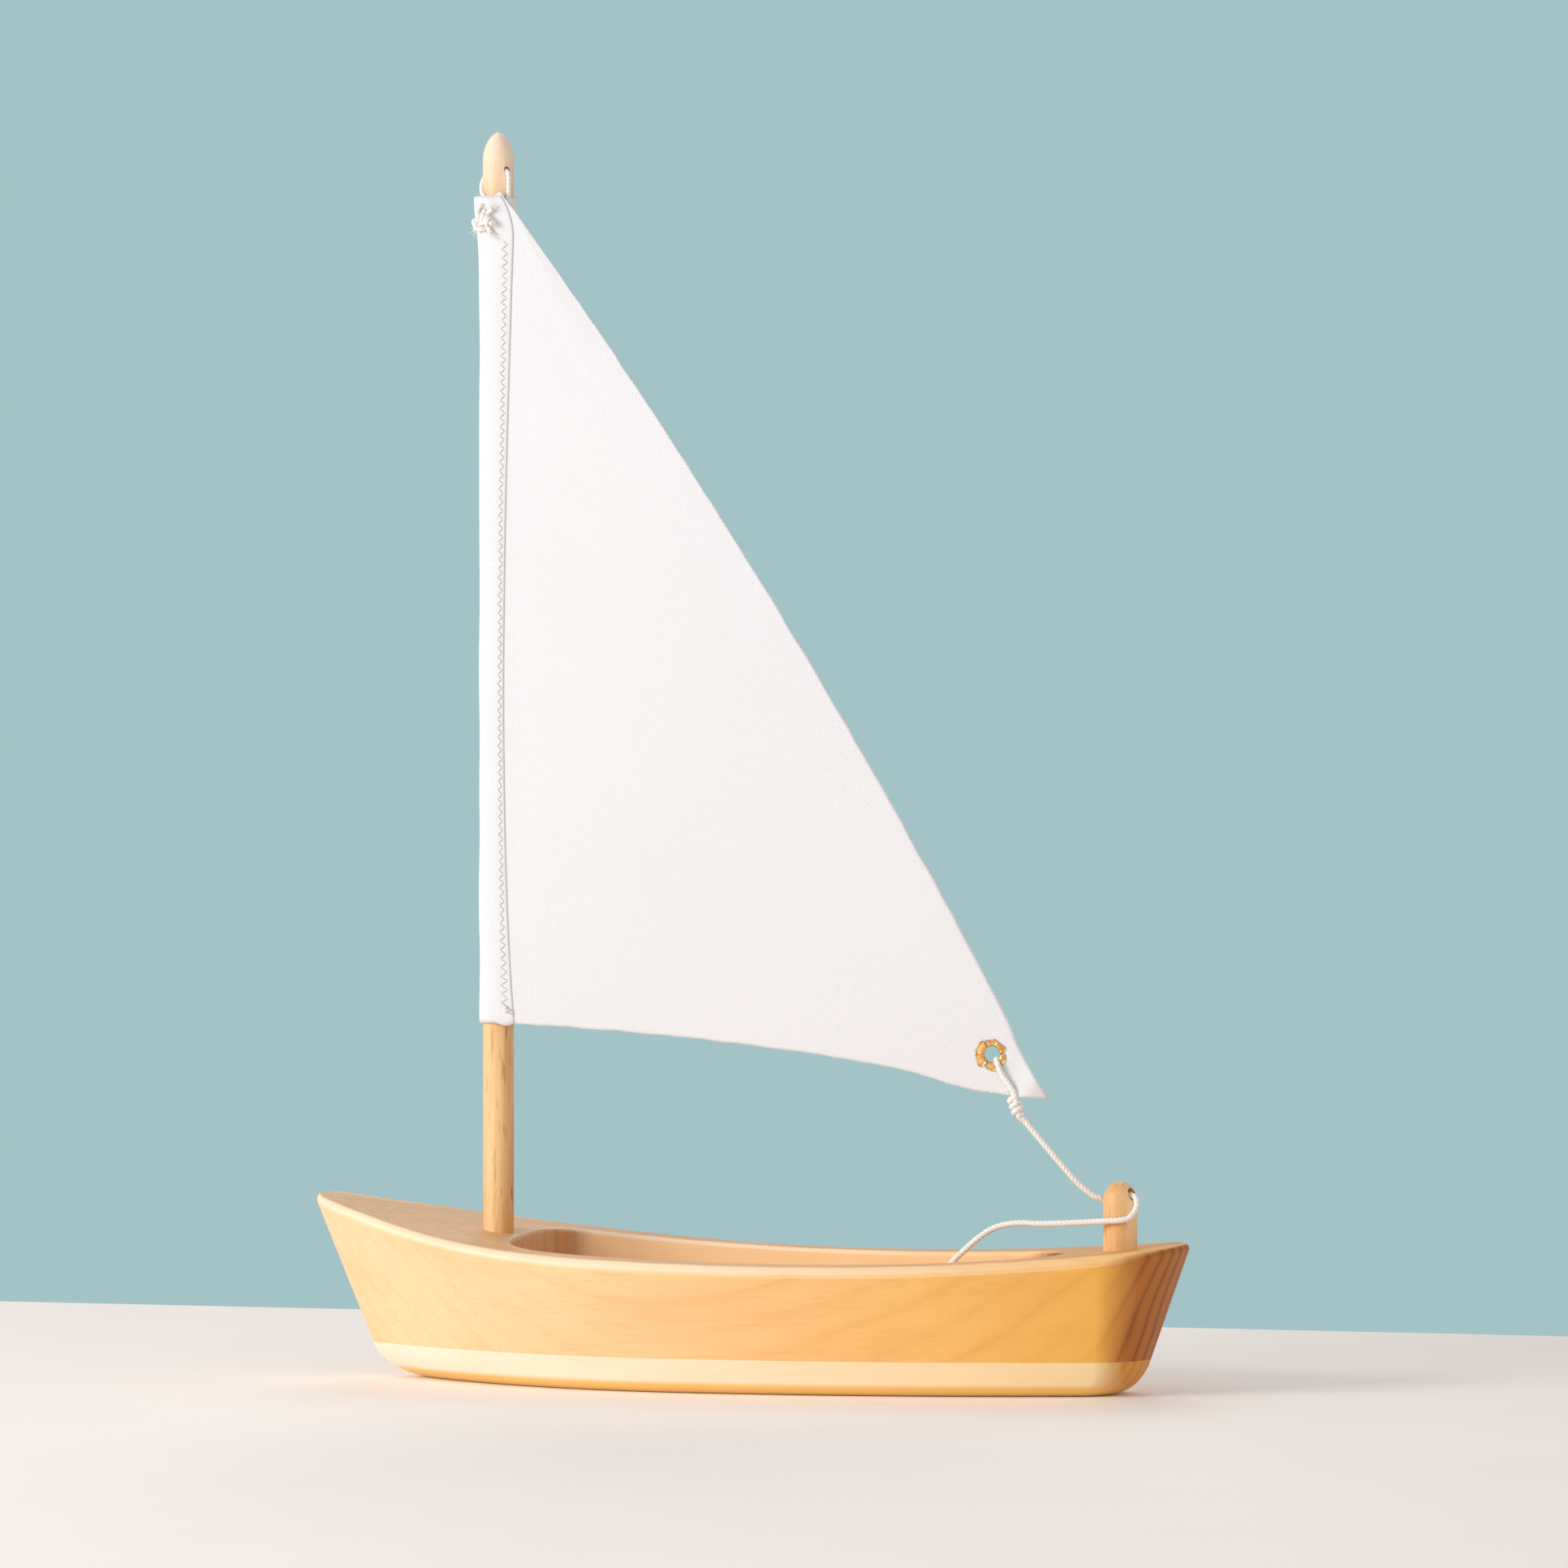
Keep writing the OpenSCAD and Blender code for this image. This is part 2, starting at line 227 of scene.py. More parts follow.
class Shader:
    """A node material and short ways to add nodes to it."""

    def __init__(self, name, roughness, metallic=0.0):
        self.material = bpy.data.materials.new(name)
        self.material.use_nodes = True
        self.tree = self.material.node_tree
        self.surface = self.tree.nodes["Principled BSDF"]
        self.surface.inputs["Roughness"].default_value = roughness
        self.surface.inputs["Metallic"].default_value = metallic

    def node(self, kind, inputs=None, **settings):
        new = self.tree.nodes.new(kind)
        for key, value in settings.items():
            setattr(new, key, value)
        for key, value in (inputs or {}).items():
            if isinstance(value, bpy.types.NodeSocket):
                self.tree.links.new(value, new.inputs[key])
            else:
                new.inputs[key].default_value = value
        return new

    def math(self, operation, a, b=0.0):
        return self.node("ShaderNodeMath", {0: a, 1: b}, operation=operation).outputs[0]

    def vector(self, operation, a, b):
        return self.node("ShaderNodeVectorMath", {0: a, 1: b}, operation=operation)

    def position(self):
        return self.node("ShaderNodeTexCoord").outputs["Object"]

    def noise(self, vector, scale, detail=3.0):
        inputs = {"Vector": vector, "Scale": scale, "Detail": detail, "Roughness": 0.55}
        return self.node("ShaderNodeTexNoise", inputs).outputs["Fac"]

    def grain(self, place, per_metre, detail=3.0):
        """Noise drawn out along the fibres; per_metre is how fast it varies in X, Y and Z."""
        return self.noise(self.vector("MULTIPLY", place, per_metre).outputs[0], 1.0, detail)

    def span(self, value, low, high, to_low=0.0, to_high=1.0):
        """Value rescaled from low..high to to_low..to_high, and clamped."""
        inputs = {"Value": value, "From Min": low, "From Max": high,
                  "To Min": to_low, "To Max": to_high}
        return self.node("ShaderNodeMapRange", inputs).outputs[0]

    def mix(self, factor, a, b):
        """Colour between a and b."""
        inputs = {"Factor": factor, COLOUR_A: a, COLOUR_B: b}
        return self.node("ShaderNodeMix", inputs, data_type="RGBA").outputs[MIXED]

    def colour(self, value):
        self.tree.links.new(value, self.surface.inputs["Base Color"])

    def roughness(self, value):
        self.tree.links.new(value, self.surface.inputs["Roughness"])

    def bump(self, height, distance, strength):
        inputs = {"Height": height, "Distance": distance, "Strength": strength}
        bump = self.node("ShaderNodeBump", inputs)
        self.tree.links.new(bump.outputs[0], self.surface.inputs["Normal"])


def growth_rings(s, place, ring_gap):
    """How much late wood is at a place: soft bands round the trunk's axis, some years darker."""
    from_pith = s.vector("SUBTRACT", place, TRUNK_AXIS).outputs[0]
    across = s.vector("MULTIPLY", from_pith, (0.02, 1.0, 1.0)).outputs[0]
    wander = s.grain(place, (7.0, 14.0, 14.0), detail=2.0)
    radius = s.math("ADD", s.vector("LENGTH", across, (0, 0, 0)).outputs["Value"],
                    s.math("MULTIPLY", wander, 9 * MM))
    years = s.math("DIVIDE", radius, ring_gap)
    in_year = s.math("MULTIPLY", s.math("FRACT", years), 2.0)
    from_edge = s.math("ABSOLUTE", s.math("SUBTRACT", in_year, 1.0))
    late_wood = s.math("POWER", s.math("SUBTRACT", 1.0, from_edge), 3.0)
    strength = s.node("ShaderNodeTexWhiteNoise", {"W": s.math("FLOOR", years)},
                      noise_dimensions="1D").outputs["Value"]
    return s.math("MULTIPLY", late_wood, s.span(strength, 0.0, 1.0, 0.25, 1.0))


def sawn_wood(name, bow, stern, ring, end_grain_and_shade, under, deck, ring_gap, contrast):
    """Wood cut from one trunk: nearly upright growth rings, fibres along X, browner end grain, with
    painted light and shade mixed into its colour.
    """
    s = Shader(name, roughness=0.42)
    place = s.position()
    rings = growth_rings(s, place, ring_gap)
    fibres = s.grain(place, (40.0, 1100.0, 1100.0))
    blotches = s.grain(place, (14.0, 60.0, 60.0), detail=2.0)
    xyz = s.node("ShaderNodeSeparateXYZ", {0: place})
    # Paler towards the bow and more orange towards the stern: partly the wood's own tone, partly
    # painted light on the bow side and painted shade towards the stern.
    along = s.span(xyz.outputs[0], block_lo.x * 0.95, block_hi.x * 0.45)
    base = s.mix(along, stern, bow)
    contrast_here = s.span(along, 0.3, 1.0, contrast, contrast * 0.3)
    base = s.mix(s.math("MULTIPLY", rings, contrast_here), base, ring)
    base = s.mix(s.span(fibres, 0.45, 0.75, 0.0, 0.20), base, ring)
    base = s.mix(s.span(blotches, 0.40, 0.72, 0.0, 0.22), base, ring)
    normal = s.node("ShaderNodeSeparateXYZ", {0: s.node("ShaderNodeTexCoord").outputs["Normal"]})
    # Painted shade: the lowest few millimetres, the board's eased underside bevel, take the under
    # colour.
    base = s.mix(s.span(xyz.outputs[2], 4.2 * MM, 2.9 * MM), base, under)
    upward = normal.outputs[2]
    # Painted light: upright faces, the cockpit walls, are lightened towards the pale bow colour.
    painted_wall_light = s.span(s.math("ABSOLUTE", upward), 0.12, 0.04, 0.0, 0.6)
    base = s.mix(painted_wall_light, base, bow)
    # Upward-facing rounded edges turn pale, more so towards the bow: partly real sanding wear, partly
    # a painted highlight.
    sloping = s.math("MULTIPLY", s.span(upward, 0.0, 0.35), s.span(upward, 0.97, 0.85))
    worn_and_highlit_edge = s.math("MULTIPLY", sloping, s.span(along, 0.0, 0.6, 0.2, 0.6))
    base = s.mix(worn_and_highlit_edge, base, WORN_AND_HIGHLIT_WOOD)
    # Painted shade: faces that point straight up, such as the deck, take a darker colour, streaked
    # with the fibres.
    base = s.mix(s.span(upward, 0.90, 0.98), base, s.mix(fibres, base, deck))
    # Browner end grain on faces that point along X aft of the mast; its colours are darker than the
    # wood's own end grain, as painted shade on these aft-facing faces.
    facing = s.math("ABSOLUTE", normal.outputs[0])
    aft_of_mast = s.span(xyz.outputs[0], mast_x + 7 * MM, mast_x - 23 * MM)
    end = s.math("MULTIPLY", s.span(facing, 0.30, 0.68), aft_of_mast)
    end_rings = s.mix(s.span(s.math("ADD", rings, s.math("MULTIPLY", blotches, 0.5)), 0.15, 0.85),
                      end_grain_and_shade[0], end_grain_and_shade[1])
    s.colour(s.mix(end, base, end_rings))
    s.roughness(s.span(fibres, 0.3, 0.7, 0.36, 0.52))
    s.surface.inputs["Specular IOR Level"].default_value = 0.3
    s.bump(s.math("ADD", fibres, s.math("MULTIPLY", rings, 0.5)), 0.05 * MM, 0.6)
    return s.material


def dowel_wood(name, light, dark, fleck, flecked):
    """Turned hardwood with its fibres along Z; flecked is how strongly its short pores show."""
    s = Shader(name, roughness=0.45)
    place = s.position()
    fibres = s.grain(place, (700.0, 700.0, 22.0))
    tone = s.grain(place, (150.0, 150.0, 14.0), detail=2.0)
    pores = s.grain(place, (1100.0, 1100.0, 110.0), detail=1.0)
    spots = s.math("MULTIPLY", s.span(pores, 0.60, 0.68), s.span(tone, 0.35, 0.6, 0.35, 1.0))
    base = s.mix(s.span(tone, 0.32, 0.72), light, dark)
    base = s.mix(s.span(fibres, 0.45, 0.8, 0.0, 0.35), base, dark)
    base = s.mix(s.math("MULTIPLY", spots, flecked), base, fleck)
    height = s.node("ShaderNodeSeparateXYZ", {0: place}).outputs[2]
    # Paler towards the top of the mast.
    paler_top = s.span(height, mast_hi.z - 36 * MM, mast_hi.z, 0.0, 0.8)
    s.colour(s.mix(paler_top, base, PALER_TOP_WOOD))
    s.roughness(s.span(fibres, 0.3, 0.7, 0.38, 0.55))
    s.surface.inputs["Specular IOR Level"].default_value = 0.3
    s.bump(s.math("SUBTRACT", fibres, spots), 0.04 * MM, 0.6)
    return s.material


def woven_canvas(name):
    """White plain-weave canvas: threads that pass over and under each other."""
    s = Shader(name, roughness=0.92)
    place = s.position()
    xyz = s.node("ShaderNodeSeparateXYZ", {0: place})
    across, up = 2 * math.pi / (1.05 * MM), 2 * math.pi / (0.75 * MM)
    slub = s.grain(place, (900.0, 200.0, 60.0))
    sway = s.math("MULTIPLY", slub, 2.0)
    warp = s.math("SINE", s.math("ADD", s.math("MULTIPLY", xyz.outputs[0], across), sway))
    weft = s.math("SINE", s.math("ADD", s.math("MULTIPLY", xyz.outputs[2], up), sway))
    weave = s.math("MULTIPLY", warp, weft)
    shade = s.span(weave, -1.0, 1.0)
    cloud = s.noise(place, 28.0, detail=2.0)
    base = s.mix(shade, srgb(208, 206, 210), srgb(254, 253, 254))
    s.colour(s.mix(s.span(cloud, 0.3, 0.7, 0.0, 0.2), base, srgb(238, 237, 240)))
    s.surface.inputs["Sheen Weight"].default_value = 0.15
    s.roughness(s.span(slub, 0.3, 0.7, 0.86, 0.97))
    s.bump(s.math("ADD", weave, s.math("MULTIPLY", slub, 0.6)), 0.10 * MM, 0.55)
    return s.material


def cotton(name, dark, light):
    """Soft fibrous cotton for cords and thread."""
    s = Shader(name, roughness=0.95)
    place = s.position()
    fibre = s.noise(place, 2600.0, detail=2.0)
    s.colour(s.mix(s.span(fibre, 0.3, 0.7), dark, light))
    s.roughness(s.span(fibre, 0.3, 0.7, 0.88, 1.0))
    s.bump(fibre, 0.08 * MM, 0.6)
    return s.material


def rolled_brass(name):
    """Bright brass with fine scratches and duller patches."""
    s = Shader(name, roughness=0.3, metallic=1.0)
    place = s.position()
    patches = s.noise(place, 700.0, detail=2.0)
    scratches = s.grain(place, (6000.0, 6000.0, 900.0))
    s.colour(s.mix(s.span(patches, 0.35, 0.65), srgb(250, 206, 138), srgb(226, 164, 94)))
    s.roughness(s.span(scratches, 0.3, 0.7, 0.2, 0.42))
    s.bump(scratches, 0.02 * MM, 0.5)
    return s.material


def matt_floor(name, colour, shade):
    """Plain pale tabletop with a faint mottle."""
    s = Shader(name, roughness=0.8)
    mottle = s.noise(s.position(), 9.0)
    s.colour(s.mix(s.span(mottle, 0.3, 0.7, 0.0, 0.12), colour, shade))
    s.bump(s.noise(s.position(), 900.0), 0.05 * MM, 0.3)
    return s.material


TRUNK_AXIS = (0.0, -0.42, 0.02)
# Pale colour of rounded edges: sanding wear and a painted highlight.
WORN_AND_HIGHLIT_WOOD = srgb(255, 238, 212)
# Paler colour that the mast takes towards its top.
PALER_TOP_WOOD = srgb(255, 240, 220)
# In these woods the bow colour is partly painted light, and the underside, deck and end-grain colours
# are partly painted shade.
block_wood = sawn_wood("block_wood", bow=srgb(249, 212, 166), stern=srgb(253, 188, 80),
                       ring=srgb(228, 156, 70), end_grain_and_shade=(srgb(188, 112, 44), srgb(146, 80, 28)),
                       under=srgb(226, 160, 84), deck=srgb(196, 144, 86), ring_gap=4.6 * MM,
                       contrast=0.5)
board_wood = sawn_wood("board_wood", bow=srgb(254, 232, 212), stern=srgb(254, 228, 170),
                       ring=srgb(246, 214, 172), end_grain_and_shade=(srgb(218, 150, 66), srgb(204, 136, 56)),
                       under=srgb(250, 202, 122), deck=srgb(230, 200, 160), ring_gap=3.4 * MM,
                       contrast=0.25)
mast_wood = dowel_wood("mast_wood", light=srgb(247, 208, 154), dark=srgb(218, 152, 82),
                       fleck=srgb(156, 92, 44), flecked=0.65)
post_wood = dowel_wood("post_wood", light=srgb(250, 216, 168), dark=srgb(226, 166, 100),
                       fleck=srgb(190, 130, 78), flecked=0.3)
canvas = woven_canvas("white_canvas")
cord_cotton = cotton("cord_cotton", srgb(236, 230, 224), srgb(252, 249, 245))
thread_cotton = cotton("thread_cotton", srgb(184, 178, 172), srgb(214, 210, 205))
brass = rolled_brass("eyelet_brass")


# ---- hull ----

# Half outline where block and board meet, as (radius in mm, degrees turned) per arc from the bow aft.
HULL_ARCS = [(3.8, 53), (178, 38), (480, 16)]
# The round stern goes on from there until it reaches the centre plane.
STERN_R = 21
# Cockpit: blunt front and round corners as such arcs, then long sides and a narrow aft end.
COCKPIT_FRONT_ARCS = [(120, 6), (20.5, 74.4)]
COCKPIT_SIDE_R = 300
COCKPIT_TAIL_R = 20
COCKPIT_FRONT_X = 75 * MM
ARC_STEPS = (10, 40, 30, 30)
SMALLEST_NOSE_R = 2.5
DECK_LOW_X = -31 * MM
DECK_LOW_Z = 41.4 * MM
DECK_EDGE_R = 3.2 * MM
COCKPIT_EDGE_R = 1.6 * MM
# The hand-sanded deck lies lower to port, most of all beside the mast.
PORT_DIP = 2.9 * MM
PORT_DIP_X = 84 * MM
PORT_DIP_RUN = 58 * MM
PORT_DIP_Y = (-25 * MM, 32 * MM)
# Bottom board: eased lower edge, and ends that are sanded back further.
EASE_H, EASE_W = 3.9 * MM, 4.4 * MM
END_EASE_H, BOW_EASE, STERN_EASE = 10 * MM, 8 * MM, 5 * MM


def arc_centres(arcs):
    """Centre and start angle of each arc; the outline starts at (0, 0)."""
    centres, angle = [np.array([-arcs[0][0], 0.0])], 0.0
    angles = [angle]
    for (radius, turn), (next_radius, _) in zip(arcs, arcs[1:]):
        angle += math.radians(turn)
        step = radius - next_radius
        centres.append(centres[-1] + step * np.array([math.cos(angle), math.sin(angle)]))
        angles.append(angle)
    return centres, angles


HULL_CENTRES, HULL_ANGLES = arc_centres(HULL_ARCS + [(STERN_R, 0)])
STERN_CENTRE = HULL_CENTRES[-1]
OUTLINE_LENGTH = math.sqrt(STERN_R**2 - STERN_CENTRE[1] ** 2) - STERN_CENTRE[0]
OUTLINE_SCALE = (board_hi.x - board_lo.x) / OUTLINE_LENGTH


def hull_stations(grow):
    """Half outline moved out by grow, bow tip to stern: rows of x, y and the outward normal."""
    g = grow / OUTLINE_SCALE
    nose_r = max(HULL_ARCS[0][0] + g, SMALLEST_NOSE_R)
    entry = HULL_CENTRES[1]
    nose_x = entry[0] + math.sqrt((HULL_ARCS[1][0] + g - nose_r) ** 2 - entry[1] ** 2)
    nose_turn = math.atan2(-entry[1], nose_x - entry[0])
    stern_turn = math.pi + math.asin(STERN_CENTRE[1] / (STERN_R + g))
    turns = [0.0, nose_turn] + HULL_ANGLES[2:] + [stern_turn]
    centres = [np.array([nose_x, 0.0])] + HULL_CENTRES[1:]
    radii = [nose_r] + [radius + g for radius, _ in HULL_ARCS[1:]] + [STERN_R + g]
    rows = []
    for centre, radius, start, end, steps in zip(centres, radii, turns, turns[1:], ARC_STEPS):
        for angle in np.linspace(start, end, steps + 1)[:-1]:
            normal = np.array([math.cos(angle), math.sin(angle)])
            x, y = (centre + radius * normal) * OUTLINE_SCALE
            rows.append((board_hi.x + x, max(y, 0.0), *normal))
    stern_x = (STERN_CENTRE[0] + (STERN_R + g) * math.cos(stern_turn)) * OUTLINE_SCALE
    rows.append((board_hi.x + stern_x, 0.0, -1.0, 0.0))
    return np.array(rows)


def cockpit_stations(fractions):
    """Half cockpit outline at given fractions of its length, front to back."""
    centres, angles = arc_centres(COCKPIT_FRONT_ARCS + [(COCKPIT_SIDE_R, 0)])
    side_end = 90 + math.degrees(math.acos(-centres[2][1] / (COCKPIT_SIDE_R - COCKPIT_TAIL_R)))
    arcs = COCKPIT_FRONT_ARCS + [(COCKPIT_SIDE_R, side_end - math.degrees(angles[2])),
                                 (COCKPIT_TAIL_R, 180 - side_end)]
    centres, angles = arc_centres(arcs)
    rows = []
    for (radius, degrees), centre, start in zip(arcs, centres, angles):
        for angle in np.linspace(start, start + math.radians(degrees), 60):
            normal = np.array([math.cos(angle), math.sin(angle)])
            rows.append(np.concatenate([(centre + radius * normal) * MM, normal]))
    rows = np.array(rows)
    length = distance_along(rows[:, :2])
    at = np.array(fractions) * length[-1]
    half = np.stack([np.interp(at, length, rows[:, k]) for k in range(4)], axis=1)
    half[:, 0] += COCKPIT_FRONT_X
    half[0, 1] = half[-1, 1] = 0.0
    return half


def deck_height(x):
    """Height of the deck: a lengthwise curve from bow to stern, lowest aft of midships."""
    fore_run, fore_rise = block_hi.x - DECK_LOW_X, bow_h - DECK_LOW_Z
    aft_run, aft_rise = DECK_LOW_X - block_lo.x, stern_h - DECK_LOW_Z
    fore_r = (fore_run**2 + fore_rise**2) / (2 * fore_rise)
    aft_r = (aft_run**2 + aft_rise**2) / (2 * aft_rise)
    r = np.where(x > DECK_LOW_X, fore_r, aft_r)
    return DECK_LOW_Z + r - np.sqrt(r**2 - (x - DECK_LOW_X) ** 2)


def both_sides(half):
    """Closed ring of points from a half ring: port side bow to stern, then back along starboard."""
    return np.vstack([half, half[-2:0:-1] * [1, -1, 1]])


def ring(stations, offset, z):
    """Half ring of 3D points: stations moved along their normals."""
    xy = stations[:, :2] + stations[:, 2:] * np.reshape(offset, (-1, 1))
    return np.column_stack([xy, np.broadcast_to(z, len(xy))])


def hull_ring(stations, offset, z):
    """Half ring of the hull's outside, which leans forward with the rake."""
    points = ring(stations, offset, z)
    points[:, 0] += rake * (points[:, 2] - seam_z)
    return points


def deck_edge_height(stations):
    """Height at which each station's flared side meets the deck."""
    z = deck_height(stations[:, 0])
    for _ in range(6):
        z = deck_height(hull_ring(stations, FLARE * (z - seam_z), z)[:, 0])
    return z


def port_dip(x, y, z):
    """How far the deck's dip lowers a point of the block: nothing at the seam or to starboard."""
    up = (z - seam_z) / (deck_height(x) - seam_z)
    to_port = np.interp(y, PORT_DIP_Y, (0, 1))
    return PORT_DIP * bump_at(x, PORT_DIP_X, PORT_DIP_RUN) * up * to_port


def build_block():
    """Hull block: flared side, rounded deck edge, curved deck, cockpit wall."""
    outer = hull_stations(0.0)
    run = distance_along(outer[:, :2])
    inner = cockpit_stations(run / run[-1])
    inner_z = deck_height(inner[:, 0])
    edge_z = deck_edge_height(outer)
    edge = FLARE * (edge_z - seam_z)
    lean = math.atan(FLARE)
    edge_r = DECK_EDGE_R * (1 - 0.5 * outer[:, 2] ** 2)
    back = edge_r / math.tan((math.pi / 2 - lean) / 2)

    rows = [ring(inner, 0, seam_z + (inner_z - COCKPIT_EDGE_R - seam_z) * share)
            for share in (0, 0.2, 0.4, 0.6, 0.8, 0.95, 1)]
    for a in np.linspace(0, math.pi / 2, 7)[1:]:
        lift = COCKPIT_EDGE_R * (math.sin(a) - 1)
        rows.append(ring(inner, COCKPIT_EDGE_R * (1 - math.cos(a)), inner_z + lift))
    deck_in = rows[-1]
    deck_out = hull_ring(outer, edge - back, edge_z)
    for share in (0.04, 0.15, 0.3, 0.45, 0.6, 0.75, 0.88, 0.96):
        row = deck_in * (1 - share) + deck_out * share
        row[:, 2] = deck_height(row[:, 0])
        rows.append(row)
    for a in np.linspace(math.pi / 2, -lean, 10):
        lift = edge_r * (math.sin(a) - 1)
        rows.append(hull_ring(outer, edge - back + edge_r * math.cos(a), edge_z + lift))
    low_offset = edge - back + edge_r * math.cos(lean)
    low_z = edge_z - edge_r * (1 + math.sin(lean))
    for share in (0.05, 0.2, 0.35, 0.5, 0.65, 0.8, 1):
        rows.append(hull_ring(outer, low_offset * (1 - share), low_z + (seam_z - low_z) * share))
    points = np.vstack([both_sides(row) for row in rows])
    for point in points:
        point[2] -= port_dip(*point)
    faces = looped_faces(len(rows), len(points) // len(rows))
    return make_mesh("hull_block_shaped", points, faces, block_wood)


def build_board():
    """Bottom board: the flare goes on, then the edge curves in under the flat bottom."""
    levels = [(z, 0.0) for z in np.linspace(seam_z, EASE_H, 8)]
    levels += [(EASE_H * (1 - math.sin(a)), EASE_W * (1 - math.cos(a)))
               for a in np.linspace(0, math.pi / 2, 9)[1:]]
    rings = []
    for z, inset in levels:
        half = hull_ring(hull_stations(FLARE * (z - seam_z) - inset), 0, z)
        share = max(0, 1 - z / END_EASE_H) ** 2
        ends = board_lo.x + STERN_EASE * share, board_hi.x - BOW_EASE * share
        half[:, 0] = np.interp(half[:, 0], (board_lo.x, board_hi.x), ends)
        rings.append(both_sides(half))
    faces = capped_faces(len(rings), len(rings[0]))
    return make_mesh("bottom_board_shaped", np.vstack(rings), faces, board_wood)


def finish_wood(obj, node):
    """Common end of the two hull pieces: crisp long edges, and a place in the frame."""
    crease = obj.modifiers.new("crisp_edges", "EDGE_SPLIT")
    crease.split_angle = math.radians(50)
    obj.modifiers.new("even_shading", "WEIGHTED_NORMAL")
    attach(obj, "hull")
    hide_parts(node)


def carry_over(node, material):
    """Shows a CAD node itself, with its own wood."""
    obj = frame["nodes"][node]
    obj.data.materials.clear()
    obj.data.materials.append(material)


finish_wood(build_block(), "hull_block")
finish_wood(build_board(), "bottom_board")
carry_over("mast", mast_wood)
carry_over("sheet_post", post_wood)


# ---- sail ----

CLOTH_T = 0.5 * MM
SAIL_Y = eyelet.y
LUFF_LOW = stitch_lo.z - 3 * MM
SLEEVE_TOP = sail_hi.z - 1.3 * MM
LEECH_BULGE = 7.0 * MM
FOOT_HOLLOW = 4.0 * MM
HEAD = Vector((mast_x - 2.5 * MM, 0, sail_hi.z))
CLEW = Vector((sail_lo.x, 0, sail_lo.z))
TACK = Vector((mast_x - 0.5 * MM, 0, LUFF_LOW))
THROAT = Vector((mast_x - 0.5 * MM, 0, SLEEVE_TOP + 0.3 * MM))
PANEL_ACROSS = 60
PANEL_UP = 90
FLAP_W = 7.4 * MM


def bowed(a, b, bulge, t):
    """Point at share t of a shallow curve from a to b; bulge is to the left seen from port."""
    along = (b - a).normalized()
    return a.lerp(b, t) + Vector((-along.z, 0, along.x)) * bulge * 4 * t * (1 - t)


def foot_point(t):
    """Lower edge from tack to clew: hollow, and pulled down where the sheet tugs at the eyelet."""
    point = bowed(TACK, CLEW, -FOOT_HOLLOW, t)
    point.z -= 2.3 * MM * bump_at(t, 0.87, 0.10)
    return point


def leech_point(t):
    """Aft edge from clew to head: bulged, with a dent where the corner folds."""
    point = bowed(CLEW, HEAD, LEECH_BULGE, t)
    point.x += 1.2 * MM * bump_at(t, 0.05, 0.025)
    return point


def panel_point(s, t):
    """Point of the flat panel: s from luff to leech, t from foot to head."""
    corners = (TACK * (1 - s) + CLEW * s) * (1 - t) + (THROAT * (1 - s) + HEAD * s) * t
    edges = foot_point(s) * (1 - t) + THROAT.lerp(HEAD, s) * t
    sides = TACK.lerp(THROAT, t) * (1 - s) + leech_point(t) * s
    return edges + sides - corners


def settle(obj, pins, pressure, frames=20):
    """Lets a pinned sheet of cloth belly out under a light breeze, and keeps the result."""
    group = obj.vertex_groups.new(name="pinned")
    group.add(pins, 1.0, "REPLACE")
    cloth = obj.modifiers.new("breeze", "CLOTH")
    settings = cloth.settings
    settings.quality = 6
    settings.mass = 0.3
    settings.tension_stiffness = settings.compression_stiffness = 40
    settings.shear_stiffness = 30
    settings.bending_stiffness = 12
    settings.air_damping = 4
    settings.vertex_group_mass = "pinned"
    settings.use_pressure = True
    settings.uniform_pressure_force = pressure
    settings.effector_weights.gravity = 0
    cloth.collision_settings.use_collision = False
    cloth.point_cache.frame_end = frames
    for number in range(1, frames + 1):
        bpy.context.scene.frame_set(number)
    apply_modifiers(obj)
    bpy.context.scene.frame_set(1)


def from_eyelet(point):
    """Distance of a point from the eyelet's axis."""
    return math.hypot(point.x - eyelet.x, point.z - eyelet.z)


def cut_eyelet_hole(obj, radius):
    """Points and faces of a mesh without the cloth inside the eyelet, the rim moved onto a circle."""
    points = [v.co.copy() for v in obj.data.vertices]
    away = [from_eyelet(point) for point in points]
    kept, rim = [], set()
    for polygon in obj.data.polygons:
        if all(away[v] > radius * 0.97 for v in polygon.vertices):
            kept.append(tuple(polygon.vertices))
        else:
            rim.update(v for v in polygon.vertices if away[v] > radius * 0.97)
    for v in rim:
        on_rim = eyelet + (points[v] - eyelet) * radius / away[v]
        points[v].x, points[v].z = on_rim.x, on_rim.z
    used = sorted({v for face in kept for v in face})
    number = {v: i for i, v in enumerate(used)}
    return [points[v] for v in used], [tuple(number[v] for v in face) for face in kept]


